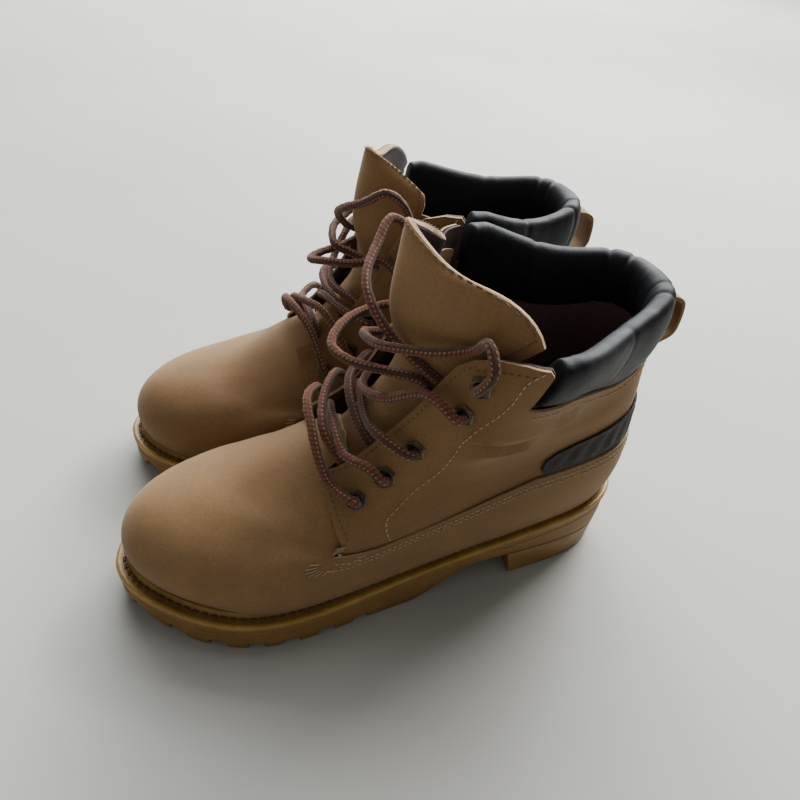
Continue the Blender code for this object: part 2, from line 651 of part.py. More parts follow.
def place(points, left):
    p = np.array(points, float)
    if left:
        p = p + [BOOT_SPACING / 2, -STAGGER / 2, 0]
    else:
        p = p * [-1, 1, 1] + [-BOOT_SPACING / 2, STAGGER / 2, 0]
    return (p + [0, Y_SHIFT, 0]) * MM


def add(name, key, verts, faces, left, origin=None):
    verts = place(verts, left)
    if not left:
        faces = [tuple(reversed(f)) for f in faces]
    start = place(origin, left) if origin is not None else np.zeros(3)
    mesh = bpy.data.meshes.new(name)
    mesh.from_pydata([tuple(v) for v in verts - start], [], [tuple(int(i) for i in f) for f in faces])
    mesh.validate()
    bm = bmesh.new()
    bm.from_mesh(mesh)
    bmesh.ops.remove_doubles(bm, verts=bm.verts, dist=2e-6)
    bmesh.ops.triangulate(bm, faces=[f for f in bm.faces if len(f.verts) > 3])
    bm.to_mesh(mesh)
    bm.free()
    obj = bpy.data.objects.new(name, mesh)
    obj.location = start
    mesh.materials.append(material(name, key))
    bpy.context.collection.objects.link(obj)
    return obj


TONGUE_HINGE = (0.0, -50.0, 80.0)


def boot(left):
    s = "left_" if left else "right_"
    pieces = [
        ("outsole", "rubber_tan", outsole), ("heel_block", "rubber_amber", heel_block),
        ("midsole", "rubber_tan", midsole), ("welt", "welt", welt), ("cork_filler", "cork", cork_filler),
        ("shank", "steel", shank), ("insole_board", "board", insole_board), ("footbed", "foam", footbed),
        ("toe_puff", "board", toe_puff), ("heel_counter", "board", heel_counter), ("vamp", "nubuck", vamp),
        ("quarter_lateral", "nubuck", lambda: quarter(1)), ("quarter_medial", "nubuck", lambda: quarter(-1)),
        ("lining", "lining", lining), ("collar", "collar", collar), ("heel_label", "label", heel_label),
        ("pull_loop", "nubuck", pull_loop),
    ]
    for name, key, make in pieces:
        verts, faces = make()
        add(s + name, key, verts, faces, left)
    verts, faces = lug_gaps()
    cutter = add(s + "lug_cutter", "rubber_tan", verts, faces, left)
    cutter.hide_render = True
    cutter.display_type = "WIRE"
    cut = bpy.data.objects[s + "outsole"].modifiers.new("lugs", "BOOLEAN")
    cut.operation = "DIFFERENCE"
    cut.solver = "EXACT"
    cut.object = cutter
    verts, faces = tongue()
    add(s + "tongue", "nubuck_tongue", verts, faces, left, TONGUE_HINGE)
    for side, word in ((1, "lateral"), (-1, "medial")):
        for k, (u, v) in enumerate(EYELETS):
            verts, faces = eyelet(u if side > 0 else 12 - u, v)
            add(f"{s}eyelet_{word}_{k + 1}", "eyelet", verts, faces, left)
    points = np.array(LACE, float)
    data = tube(place(points, left), LACE_DIAMETER / 2 * MM)
    lace = bpy.data.objects.new(s + "lace", data)
    data.materials.append(material(s + "lace", "lace"))
    bpy.context.collection.objects.link(lace)


for old in list(bpy.data.objects):
    bpy.data.objects.remove(old, do_unlink=True)
boot(True)
boot(False)
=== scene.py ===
"""The looks of the pair of hiking boots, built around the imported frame.

Lengths are millimetres in the left boot's own frame until place(), which mirrors the
right boot, sets the boots side by side and scales to metres.
"""
import math
import random

import bmesh
import bpy
import numpy as np
from mathutils import Matrix, Vector
from mathutils.geometry import delaunay_2d_cdt


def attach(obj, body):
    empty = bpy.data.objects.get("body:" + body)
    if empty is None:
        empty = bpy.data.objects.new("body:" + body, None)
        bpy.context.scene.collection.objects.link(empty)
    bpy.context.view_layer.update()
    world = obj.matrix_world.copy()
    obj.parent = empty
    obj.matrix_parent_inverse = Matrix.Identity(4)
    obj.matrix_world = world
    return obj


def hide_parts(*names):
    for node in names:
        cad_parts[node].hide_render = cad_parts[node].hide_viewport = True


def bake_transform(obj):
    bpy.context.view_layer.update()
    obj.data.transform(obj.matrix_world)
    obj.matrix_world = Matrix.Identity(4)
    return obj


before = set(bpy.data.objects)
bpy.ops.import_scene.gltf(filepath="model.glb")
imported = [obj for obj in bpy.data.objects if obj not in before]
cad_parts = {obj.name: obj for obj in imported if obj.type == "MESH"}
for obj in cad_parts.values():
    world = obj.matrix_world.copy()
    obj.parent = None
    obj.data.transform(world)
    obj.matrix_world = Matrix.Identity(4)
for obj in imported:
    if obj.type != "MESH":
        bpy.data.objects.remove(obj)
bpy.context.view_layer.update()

MM = 0.001
BOOT_SPACING = 107.1      # between the two centre lines
STAGGER = 5.85            # how far the right boot stands behind the left one
Y_SHIFT = -0.175             # puts the middle of the pair's length on the origin

WELT_THICK = 3.6
MIDSOLE_THICK = 3.4
LAYER_GAP = 0.3
LEATHER = 1.4             # nubuck
QUARTER_OFF = 0.6         # inner face of the quarters, outside the vamp
WING_OFF = 4.0            # outer face of the vamp's wings over the quarters
LABEL_OFF = (2.7, 3.7)
LINING_OFF = (-6.4, -5.0)
FLAP_LINING_OFF = (-1.5, 0.0)
COUNTER_OFF = (-2.1, -0.3)
PUFF_OFF = (-3.5, -2.5)
HEEL_BREAST_Y = 66.0
HEEL_TOP_Z = 18.0
LUG_DEPTH = 4.5
LUG_WIDTH = 6.5
EYELET_BORE = 2.75
EYELET_BARREL = 3.6
EYELET_FLANGE = 5.3
LACE_DIAMETER = 4.3
PULL_LOOP_WIDTH = 18.0

# ------------------------------------------------------------------ the upper's surface
G = np.array([0, .06, .22, .45, .70, .92, 1.0])
FRONT = [(-141, 22.5), (-144, 37), (-139.5, 51), (-124, 62.5), (-102, 68), (-77, 75.5), (-52, 89),
         (-29, 111), (-11, 138), (1, 165), (8, 192)]
BACK = [(138, 43), (140, 52), (141.5, 62), (141, 73), (139, 85), (136.5, 98), (134, 112),
        (132, 127), (130.5, 143), (130.5, 160), (132, 176.5)]
XL = [(27, 48, 42, 33, 24), (31, 51, 44, 35, 25.5), (32.5, 51.5, 44, 36, 26.5), (31, 50, 43, 36, 27),
      (28, 46, 42, 35.5, 27), (24, 42, 40, 35, 26.5), (21, 38, 38.5, 34, 26.5), (20.5, 36.5, 38.5, 34.5, 26.5),
      (22, 38.5, 39.5, 34, 24.5), (24, 42, 43, 35.5, 24.5), (27, 47, 47.5, 37.5, 25.5)]
ZL = [(22, 21, 24, 33, 41.5), (34.5, 31, 33, 42, 50.5), (47, 41.5, 43, 51, 60), (58, 52, 52.5, 60, 70),
      (65, 61, 62.5, 70, 81), (74, 72, 74, 81.5, 93.5), (88.5, 86, 87, 94.5, 107),
      (109.5, 104, 103.5, 109.5, 122), (135.5, 128, 124.5, 128, 138.5), (162, 154.5, 149.5, 149.5, 156.5),
      (189, 182, 174.5, 171.5, 176)]
ARCH = [(2, -3, -5, -2, 0), (1, -4, -5, -2, 0), (0, -4, -4, -1.5, 0), (0, -3.5, -3, -1, 0),
        (0, -3, -2, -.5, 0), (0, -2, -1, 0, 0), (0, -1, 0, 0, 0), (0, 0, 0, 0, 0), (0, 0, 0, 0, 0),
        (0, 0, 0, 0, 0), (0, 0, 0, 0, 0)]
FLARE_LATERAL, FLARE_MEDIAL = 18.0, 0.5
DROP_LATERAL, RISE_MEDIAL = 5.0, 6.0


def control_net():
    net = np.zeros((12, 11, 3))
    for j in range(11):
        (yf, zf), (yb, zb) = FRONT[j], BACK[j]
        y = yf + (yb - yf) * G
        z = [zf, *ZL[j], zb]
        lateral = [0, *XL[j], 0]
        medial = [0, *[a + b for a, b in zip(XL[j], ARCH[j])], 0]
        for k in range(7):
            net[k, j] = (lateral[k], y[k], z[k])
        for k in range(1, 6):
            net[12 - k, j] = (-medial[k], y[k], z[k])
    n, m = 12, 11
    A = np.zeros((n, n))
    for i in range(n):
        A[i, i] = 4
        A[i, (i - 1) % n] += 1
        A[i, (i + 1) % n] += 1
    C = np.linalg.solve(A / 6, net.reshape(n, -1)).reshape(net.shape)
    B = np.zeros((m, m))
    for j in range(m):
        if j in (0, m - 1):
            B[j, j] = 6
        else:
            B[j, j - 1], B[j, j], B[j, j + 1] = 1, 4, 1
    C = np.einsum("ij,njk->nik", np.linalg.inv(B / 6), C)
    return np.concatenate([2 * C[:, :1] - C[:, 1:2], C, 2 * C[:, -1:] - C[:, -2:-1]], 1)


NET = control_net()


def smooth(a, b, x):
    t = np.clip((np.asarray(x, float) - a) / (b - a), 0, 1)
    return t * t * (3 - 2 * t)


def cubic(t):
    return np.stack([(1 - t) ** 3, 3 * t**3 - 6 * t**2 + 4, -3 * t**3 + 3 * t**2 + 3 * t + 1, t**3], -1) / 6


def surface(u, v):
    u, v = np.broadcast_arrays(np.asarray(u, float), np.asarray(v, float))
    w = u % 12
    i = np.floor(w).astype(int)
    vv = np.clip(v, 0, 10)
    j = np.minimum(np.floor(vv).astype(int), 9)
    wu, wv = cubic(w - i), cubic(vv - j)
    p = np.zeros(u.shape + (3,))
    for a in range(4):
        for b in range(4):
            p += NET[(i + a - 1) % 12, j + b] * (wu[..., a] * wv[..., b])[..., None]
    f = smooth(5.8, 10, v)
    lateral = np.exp(-(((w - 2.2) / 1.5) ** 2)) * f
    medial = np.exp(-(((9.8 - w) / 1.5) ** 2)) * f
    p[..., 0] += FLARE_LATERAL * lateral - FLARE_MEDIAL * medial
    p[..., 2] += RISE_MEDIAL * medial - DROP_LATERAL * lateral
    return p


def normal(u, v, h=1e-3):
    u, v = np.broadcast_arrays(np.asarray(u, float), np.asarray(v, float))
    v = np.clip(v, h, 10 - h)
    n = np.cross(surface(u + h, v) - surface(u - h, v), surface(u, v + h) - surface(u, v - h))
    return n / np.linalg.norm(n, axis=-1, keepdims=True)


def at(u, v, off):
    return surface(u, v) + normal(u, v) * np.asarray(off, float)[..., None]


# ------------------------------------------------------------------ mesh helpers
def inside(points, loop):
    x, y = points[:, 0], points[:, 1]
    hit = np.zeros(len(points), bool)
    px, py = loop[-1]
    for qx, qy in loop:
        cross = (qy > y) != (py > y)
        with np.errstate(divide="ignore", invalid="ignore"):
            hit ^= cross & (x < (px - qx) * (y - qy) / (py - qy) + qx)
        px, py = qx, qy
    return hit


def near(points, loop, reach):
    d = np.full(len(points), 1e9)
    a = np.asarray(loop, float)
    for p, q in zip(a, np.roll(a, -1, 0)):
        e = q - p
        t = np.clip(((points - p) @ e) / max(e @ e, 1e-12), 0, 1)
        d = np.minimum(d, np.linalg.norm(points - p - t[:, None] * e, axis=1))
    return d < reach


def refine(loop, step):
    out = []
    for p, q in zip(loop, list(loop[1:]) + [loop[0]]):
        p, q = np.array(p, float), np.array(q, float)
        n = max(1, int(math.ceil(np.linalg.norm(q - p) / step)))
        out += [tuple(p + (q - p) * k / n) for k in range(n)]
    return out


def flat_mesh(loop, holes=(), step=6.0):
    """Triangles of a flat outline: interior points lie on one shared lattice."""
    lo, hi = np.min(loop, 0), np.max(loop, 0)
    gx = np.arange(math.floor(lo[0] / step), math.ceil(hi[0] / step) + 1) * step
    gy = np.arange(math.floor(lo[1] / step), math.ceil(hi[1] / step) + 1) * step
    grid = np.array([(x, y) for x in gx for y in gy])
    keep = inside(grid, loop) & ~near(grid, loop, step * 0.4)
    for h in holes:
        keep &= ~near(grid, h, step * 0.4) & ~inside(grid, h)
    pts = [Vector(p) for p in loop]
    faces = [list(range(len(loop)))]
    for h in holes:
        faces.append(list(range(len(pts), len(pts) + len(h))))
        pts += [Vector(p) for p in h]
    pts += [Vector(p) for p in grid[keep]]
    v, _, f, *_ = delaunay_2d_cdt(pts, [], faces, 0, 1e-5)
    v = np.array([tuple(p) for p in v])
    tri = []
    for t in f:
        a, b, c = v[list(t)]
        area = (b[0] - a[0]) * (c[1] - a[1]) - (b[1] - a[1]) * (c[0] - a[0])
        if abs(area) < 1e-7:
            continue
        tri.append(tuple(t) if area > 0 else tuple(reversed(t)))
    mid = np.array([v[list(t)].mean(0) for t in tri])
    ok = inside(mid, loop)
    for h in holes:
        ok &= ~inside(mid, h)
    tri = [t for t, k in zip(tri, ok) if k]
    used = sorted({i for t in tri for i in t})
    back = {i: n for n, i in enumerate(used)}
    return v[used], [tuple(back[i] for i in t) for t in tri]


def solid(points2, tri, outer, inner):
    """A closed body between two sheets that share one flat triangulation."""
    n = len(points2)
    verts = np.concatenate([outer(points2), inner(points2)])
    faces = [tuple(t) for t in tri] + [tuple(i + n for i in reversed(t)) for t in tri]
    edge = {}
    for t in tri:
        for a, b in zip(t, t[1:] + t[:1]):
            edge[(a, b)] = edge.get((a, b), 0) + 1
    for a, b in edge:
        if (b, a) not in edge:
            faces.append((b, a, a + n, b + n))
    return verts, faces


def leather(loop, outer, inner, holes=(), su=25.6667, sv=12.0, step=11.0):
    """loop and holes are (u, v) outlines; outer and inner give the offsets."""
    scale = np.array([su, sv])
    big = refine([tuple(np.array(p) * scale) for p in loop], step)
    cut = [[tuple(np.array(p) * scale) for p in h] for h in holes]
    pts, tri = flat_mesh(big, cut, step)

    def sheet(fn):
        def place(p):
            u, v = p[:, 0] / su, p[:, 1] / sv
            off = fn(u, v) if callable(fn) else np.full(len(u), float(fn))
            return at(u, v, off)
        return place
    return solid(pts, tri, sheet(outer), sheet(inner))


def slab(loop, top, bottom, holes=(), step=8.0):
    """A plan outline between two height functions of (x, y)."""
    pts, tri = flat_mesh(loop, holes, step)

    def lay(fn):
        return lambda p: np.column_stack([p[:, 0], p[:, 1], fn(p[:, 0], p[:, 1])])
    return solid(pts, tri, lay(top), lay(bottom))


def turned(profile, centre, axis, segments):
    """Closed section (radius, height) turned about an axis."""
    axis = np.array(axis) / np.linalg.norm(axis)
    side = np.cross(axis, [0, 0, 1.0])
    side /= np.linalg.norm(side)
    other = np.cross(axis, side)
    verts, n = [], len(profile)
    for s in range(segments):
        a = 2 * math.pi * s / segments
        for k, (r, h) in enumerate(profile):
            verts.append(np.array(centre) + axis * h + (side * math.cos(a) + other * math.sin(a)) * r)
    faces = []
    for s in range(segments):
        t = (s + 1) % segments
        for k in range(n):
            m = (k + 1) % n
            faces.append((s * n + k, t * n + k, t * n + m, s * n + m))
    return np.array(verts), faces


def swept(sections):
    """Closed tube through a list of rings with flat ends."""
    n = len(sections[0])
    verts = np.concatenate(sections)
    faces = []
    for s in range(len(sections) - 1):
        for k in range(n):
            m = (k + 1) % n
            faces.append((s * n + k, s * n + m, (s + 1) * n + m, (s + 1) * n + k))
    faces.append(tuple(reversed(range(n))))
    last = (len(sections) - 1) * n
    faces.append(tuple(range(last, last + n)))
    return verts, faces


def curve_through(points, per):
    """Points read from a smooth curve through the given ones."""
    p = np.array(points, float)
    p = np.concatenate([[2 * p[0] - p[1]], p, [2 * p[-1] - p[-2]]])
    out = []
    for i in range(1, len(p) - 2):
        a, b, c, d = p[i - 1:i + 3]
        for t in np.arange(per) / per:
            out.append(0.5 * (2 * b + (c - a) * t + (2 * a - 5 * b + 4 * c - d) * t**2
                              + (3 * b - a - 3 * c + d) * t**3))
    out.append(p[-2])
    return np.array(out)


# ------------------------------------------------------------------ the sole's plan and heights
def level(y, knots):
    ys, zs = zip(*knots)
    fine = np.linspace(ys[0], ys[-1], 400)
    z = np.interp(fine, ys, zs)
    k = np.hanning(41)
    pad = np.pad(z, 20, mode="reflect", reflect_type="odd")
    return np.interp(y, fine, np.convolve(pad, k / k.sum(), "valid"))


WELT_TOP = [(-152, 21.2), (-141, 21.3), (-122, 20.7), (-100, 19.9), (-79, 19.8), (-40, 20.9), (-14, 22.8),
            (20, 26.9), (56, 31.8), (90, 36.9), (118, 40.0), (138, 41.6), (150, 42.0)]


def welt_top(x, y):
    return level(y, WELT_TOP)


def tread(y):
    """Height of the outsole's underside between toe and heel."""
    toe = 6.0 * smooth(0, 1, (-y - 104) / 44)
    arch = HEEL_TOP_Z * smooth(0, 1, (y - 2) / 44)
    return toe + arch


def plan(offset, count=72, wing=0.0):
    """Outline of the feather line moved outward; offset is a number or a function of y."""
    u = np.linspace(0, 12, count, endpoint=False)
    p = surface(u, 0.0)[:, :2]
    t = surface(u + 1e-3, 0.0)[:, :2] - surface(u - 1e-3, 0.0)[:, :2]
    n = np.column_stack([t[:, 1], -t[:, 0]])
    n /= np.linalg.norm(n, axis=1, keepdims=True)
    off = offset(p[:, 0], p[:, 1]) if callable(offset) else np.full(count, float(offset))
    return [tuple(q) for q in p + n * off[:, None]]


def rim(x, y):
    ball = np.exp(-(((y + 70) / 45) ** 2))
    return 8.4 + np.where(x > 0, 1.8, -1.4) * ball - 0.4 * smooth(20, 120, y)


# ------------------------------------------------------------------ outlines of the leather pieces
def mirrored(loop):
    return [(12 - u, v) for u, v in reversed(loop)]


FLAP_FRONT = [(0.98, 5.95), (1.08, 6.2), (1.12, 6.6), (1.11, 7.0), (1.12, 7.45), (1.13, 7.9), (1.13, 8.3),
              (1.14, 8.65), (1.18, 9.05), (1.30, 9.35), (1.54, 9.65), (1.85, 9.86), (2.15, 9.95), (2.24, 9.88)]
QUARTER = ([(2.45, 2.2), (2.40, 3.0), (2.35, 3.65), (2.20, 4.08), (2.06, 4.4), (1.68, 5.12), (1.30, 5.62),
            (1.08, 5.86)] + FLAP_FRONT + [(2.27, 9.05), (3.1, 9.05), (3.7, 8.72), (4.3, 8.32), (4.8, 8.22), (5.96, 8.2), (5.96, 2.2)])
VAMP_SIDE = [(0.5, 5.85), (1.0, 5.88), (1.24, 5.74), (1.48, 5.44), (1.83, 4.92), (2.12, 4.42), (2.3, 4.08),
             (2.36, 3.94), (2.26, 3.86), (2.26, 3.6), (2.5, 3.5), (2.71, 3.45), (3.0, 3.7), (3.3, 4.1), (3.6, 4.5),
             (3.96, 4.85), (4.4, 4.7), (4.9, 4.5), (5.4, 4.42), (5.97, 4.4)]
LABEL_HALF = [(4.02, 5.0), (3.93, 5.4), (3.90, 5.85), (3.98, 6.15), (4.2, 6.28), (4.6, 6.28), (5.2, 6.24), (6.0, 6.2)]
LABEL_LOW = [(6.0, 4.6), (5.2, 4.64), (4.6, 4.82)]
EYELETS = [(1.57, 9.08), (1.64, 8.42), (1.60, 7.25), (1.70, 6.38), (1.72, 5.62)]


def wing(u, v):
    """Outer face of the vamp: flush in front, riding over the quarters along the sides."""
    w = np.minimum(u % 12, 12 - u % 12)
    side = smooth(1.5, 2.3, w)
    over = 1 - smooth(3.6, 3.84, v) * (1 - smooth(2.55, 2.6, w))
    return WING_OFF * side * over


def lining_outer(u, v):
    w = np.minimum(u % 12, 12 - u % 12)
    s = (1 - smooth(2.25, 3.0, w)) * smooth(6.3, 7.2, v)
    return LINING_OFF[1] + (FLAP_LINING_OFF[1] - LINING_OFF[1]) * s


def lining_inner(u, v):
    return lining_outer(u, v) - 1.4


def hole_at(u, v, r, count=8):
    """A round hole, as an outline in (u, v)."""
    h = 1e-3
    du = (surface(u + h, v) - surface(u - h, v)) / (2 * h)
    dv = (surface(u, v + h) - surface(u, v - h)) / (2 * h)
    e1 = du / np.linalg.norm(du)
    e2 = dv - e1 * (dv @ e1)
    e2 /= np.linalg.norm(e2)
    lean = np.linalg.inv(np.array([[du @ e1, dv @ e1], [du @ e2, dv @ e2]]))
    turn = np.arange(count) * 2 * math.pi / count
    return [tuple(np.array([u, v]) + lean @ (r * np.array([math.cos(t), math.sin(t)]))) for t in turn]


def eyelet_holes(side, r):
    return [hole_at(u if side > 0 else 12 - u, v, r) for u, v in EYELETS]




COLLAR_SECTION = [(9.16, 0.9, 0), (9.25, 2.6, 0), (9.7, 3.7, 0), (10, 2.2, 3.4), (10, -3.0, 5.0), (10, -7.6, 2.8),
                  (9.8, -9.6, 0), (9.2, -9.4, 0), (8.74, -6.6, 0), (9.0, -2.2, 0)]
COLLAR_DROP = [1.0, 1.0, 0.4, 0, 0, 0, 0, 0, 0.1, 0.7]     # how far each point follows the lower rear edge


def collar_low(u):
    """How far below its front end the collar reaches towards the heel."""
    return 0.86 * smooth(3.0, 4.6, min(u, 12 - u))


TONGUE_ROOTS = (6.2, 7.0, 8.0)          # lower rows follow the shaft, well inside it
TONGUE_INSET = 9.0
TONGUE_TOP = [  # upper rows, from the medial to the lateral edge: the tongue leans out of the shaft
    [(-29, 17, 158), (-18, 0, 166), (-2, -9, 168), (17, 0, 164), (34, 18, 149)],
    [(-32, 23, 184), (-20, 3, 193), (-3, -6, 196), (21, 4, 188), (46, 28, 163)],
    [(-24, 24, 195), (-14, 5, 204), (-3, -4.6, 207.5), (27, 13.5, 193), (56, 40, 180)],
]
TONGUE_THICK = 3.2


def tongue_point(s, t):
    """s in 0..4 across, t in 0..5 up."""
    low = [[at(np.array(u), np.array(v), np.array(-TONGUE_INSET)) for u in (-1.5, -.75, 0, .75, 1.5)]
           for v in TONGUE_ROOTS]
    rows = np.concatenate([np.array(low), np.array(TONGUE_TOP, float)])
    full = np.concatenate([[2 * rows[0] - rows[1]], rows, [2 * rows[-1] - rows[-2]]])
    full = np.concatenate([2 * full[:, :1] - full[:, 1:2], full, 2 * full[:, -1:] - full[:, -2:-1]], 1)
    i, j = min(int(t), 4), min(int(s), 3)
    a, b = t - i, s - j

    def w(x):
        return 0.5 * np.array([-x + 2 * x**2 - x**3, 2 - 5 * x**2 + 3 * x**3, x + 4 * x**2 - 3 * x**3, x**3 - x**2])
    return np.einsum("i,j,ijk->k", w(a), w(b), full[i:i + 4, j:j + 4])


def tongue_trim(s):
    """Rounds the two upper corners."""
    return 1 - 0.11 * abs(s / 2 - 1) ** 4


LACE = [  # the lace's way through the eyelets, from the lateral end to the medial one
    (20, 48, 118), (26.6, 45.8, 131.6), (34.6, 39.6, 145), (42.4, 29.2, 153), (46.8, 23, 156.2),
    (54.8, 13.6, 156.6), (61.6, 16.8, 170.2), (53, 16, 180.2), (42.4, 15.4, 169.6), (32.2, 4, 162.2),
    (22, -7, 158.6), (11, -17.4, 155.2), (-6, -19.8, 151.2), (-11.2, -10, 147.6), (-23.6, 6.6, 142.4),
    (-32, 17.6, 144.8), (-42.4, 11, 146.2), (-30, 1.8, 151.8), (-28.4, -13.4, 149.8), (-20, -27, 147.8),
    (-7.6, -34.6, 143.4), (4.6, -26, 141.4), (13.8, -11, 141), (24.4, 3, 141), (30, 4.8, 129.6),
    (32.2, 6, 119.4), (32.4, 0.8, 110.2), (42.8, -5.6, 112), (31.6, -17.6, 116.4), (19.8, -21, 115.4),
    (2.2, -19.8, 114.8), (-15.8, -17.8, 113.6), (-24.8, -14.4, 99.2), (-29.4, -12.8, 91.8), (-40, -17, 96.6),
    (-32, -23, 108.2), (-21, -29.6, 116.6), (-5.2, -37.8, 115), (10.4, -41.4, 108.8), (18, -37, 98.8),
    (23.8, -29.2, 86.2), (33, -27.4, 78.2), (42.2, -31, 85.6), (30.6, -40.8, 87.8), (21, -45.4, 98.8),
    (8.4, -46.8, 109.6), (-5.6, -46.2, 114.6), (-20.8, -39.2, 109.2), (-31.6, -34.6, 99.2),
    (-41.8, -31.2, 85.8), (-31.6, -27.6, 78.4), (-22, -29.6, 92.8), (-11.6, -33.2, 104), (10.2, -35, 106),
    (24.6, -33.4, 101.4), (36, -24.4, 102), (41.2, -17.2, 96), (30.6, -12.6, 91.4), (22, -19.8, 102.8),
    (8.8, -24.2, 110), (-6.6, -25, 118), (-21.6, -19.4, 117.8), (-35.8, -9, 116.2), (-39, -5, 115.2),
    (-28.2, 0.6, 112.4), (-18.8, -9.4, 120), (-3, -19, 122.4), (9, -19, 126), (22, -13, 132), (36, -2, 144),
    (46.4, 4.4, 144), (52, 10, 139), (42.8, 18.2, 138.6), (28.6, 8, 144), (18.2, -1.6, 150.2),
    (8.4, -10.8, 158), (-2.2, -18, 169), (-15, -17.8, 177.4), (-28, -10, 185.4), (-38.8, -0.2, 194.6),
    (-37, 12, 183.4), (-41.4, 14.4, 169), (-42.8, 14.6, 164.8), (-33.4, 22.4, 164.2), (-27.4, 29.4, 152),
    (-21.6, 37.6, 139), (-16.6, 46.2, 125), (-14, 50, 115),
]


def place(points, left):
    p = np.array(points, float)
    if left:
        p = p + [BOOT_SPACING / 2, -STAGGER / 2, 0]
    else:
        p = p * [-1, 1, 1] + [-BOOT_SPACING / 2, STAGGER / 2, 0]
    return (p + [0, Y_SHIFT, 0]) * MM




# ------------------------------------------------------------------ camera
def make_camera():
    cam = bpy.data.cameras.new("camera")
    cam.sensor_width = 36
    cam.lens = 654.55 / 800 * 36
    cam.clip_start = 0.01
    a, e, r = math.radians(69.35), math.radians(37.8), math.radians(7.42)
    back = Vector((math.sin(a) * math.cos(e), -math.cos(a) * math.cos(e), math.sin(e)))
    right = (-back).cross(Vector((0, 0, 1))).normalized()
    up = right.cross(-back)
    x = right * math.cos(r) + up * math.sin(r)
    y = -right * math.sin(r) + up * math.cos(r)
    p = Vector(place(np.array([250.7, -93.26, 319.5]), True))
    o = bpy.data.objects.new("camera", cam)
    o.matrix_world = Matrix(((x.x, y.x, back.x, p.x), (x.y, y.y, back.y, p.y), (x.z, y.z, back.z, p.z), (0, 0, 0, 1)))
    bpy.context.collection.objects.link(o)
    bpy.context.scene.camera = o


make_camera()


# ------------------------------------------------------------------ materials
class Nodes:
    def __init__(self, name):
        self.m = bpy.data.materials.new(name)
        self.m.use_nodes = True
        self.t = self.m.node_tree
        self.b = self.t.nodes["Principled BSDF"]

    def new(self, kind, **values):
        n = self.t.nodes.new(kind)
        for k, v in values.items():
            if hasattr(n, k):
                setattr(n, k, v)
            else:
                n.inputs[k].default_value = v
        return n

    def link(self, a, b):
        self.t.links.new(a, b)

    def coords(self, scale=(1, 1, 1)):
        c = self.new("ShaderNodeTexCoord")
        m = self.new("ShaderNodeMapping")
        m.inputs["Scale"].default_value = scale
        self.link(c.outputs["Object"], m.inputs["Vector"])
        return m.outputs["Vector"]

    def noise(self, vec, scale, detail=4, rough=0.55, distortion=0.0):
        n = self.new("ShaderNodeTexNoise", Scale=scale, Detail=detail, Roughness=rough, Distortion=distortion)
        self.link(vec, n.inputs["Vector"])
        return n.outputs["Fac"]

    def ramp(self, fac, *stops):
        n = self.new("ShaderNodeValToRGB")
        e = n.color_ramp.elements
        while len(e) < len(stops):
            e.new(0.5)
        for el, (p, c) in zip(e, stops):
            el.position = p
            el.color = (*c, 1) if len(c) == 3 else c
        self.link(fac, n.inputs["Fac"])
        return n.outputs["Color"]

    def mix(self, fac, a, b, mode="MIX"):
        n = self.new("ShaderNodeMix", data_type="RGBA", blend_type=mode)
        for socket, v in ((n.inputs[0], fac), (n.inputs[6], a), (n.inputs[7], b)):
            if isinstance(v, (int, float)):
                socket.default_value = v
            elif isinstance(v, tuple):
                socket.default_value = (*v, 1)
            else:
                self.link(v, socket)
        return n.outputs[2]

    def bump(self, height, strength, distance, below=None):
        n = self.new("ShaderNodeBump")
        n.inputs["Strength"].default_value = strength
        n.inputs["Distance"].default_value = distance
        self.link(height, n.inputs["Height"])
        if below is not None:
            self.link(below, n.inputs["Normal"])
        return n.outputs["Normal"]

    def finish(self, colour=None, rough=None, normal=None, **constants):
        if colour is not None:
            if isinstance(colour, tuple):
                self.b.inputs["Base Color"].default_value = (*colour, 1)
            else:
                self.link(colour, self.b.inputs["Base Color"])
        if rough is not None:
            if isinstance(rough, (int, float)):
                self.b.inputs["Roughness"].default_value = rough
            else:
                self.link(rough, self.b.inputs["Roughness"])
        if normal is not None:
            self.link(normal, self.b.inputs["Normal"])
        for k, v in constants.items():
            self.b.inputs[k.replace("_", " ")].default_value = v
        return self.m


def grey(fac_lo, fac_hi):
    return (fac_lo,) * 3, (fac_hi,) * 3


def nubuck(name, base, dark, light, patch=18.0):
    n = Nodes(name)
    v = n.coords()
    big = n.noise(v, patch, 3, 0.5)
    mid = n.noise(v, 90, 4, 0.6, 0.4)
    nap = n.noise(v, 900, 6, 0.7)
    colour = n.ramp(big, (0.30, dark), (0.52, base), (0.74, light))
    scuff = n.ramp(mid, (0.36, (0.93, 0.93, 0.93)), (0.66, (1.05, 1.045, 1.03)))
    colour = n.mix(1.0, colour, scuff, "MULTIPLY")
    fine = n.ramp(nap, (0.35, (0.86, 0.86, 0.86)), (0.65, (1.12, 1.12, 1.12)))
    colour = n.mix(1.0, colour, fine, "MULTIPLY")
    rough = n.ramp(mid, (0.3, (0.72,) * 3), (0.7, (0.9,) * 3))
    nrm = n.bump(nap, 0.35, 0.0004)
    nrm = n.bump(mid, 0.18, 0.0012, nrm)
    return n.finish(colour, rough, nrm, Sheen_Weight=0.16, Sheen_Roughness=0.45, Sheen_Tint=(0.95, 0.8, 0.6, 1),
                    Specular_IOR_Level=0.3)


def raw_edge(name, base):
    n = Nodes(name)
    v = n.coords()
    f = n.noise(v, 1400, 5, 0.7)
    c = n.ramp(f, (0.3, tuple(x * 0.55 for x in base)), (0.7, tuple(x * 1.25 for x in base)))
    return n.finish(c, 0.95, n.bump(f, 0.8, 0.0006), Specular_IOR_Level=0.15)


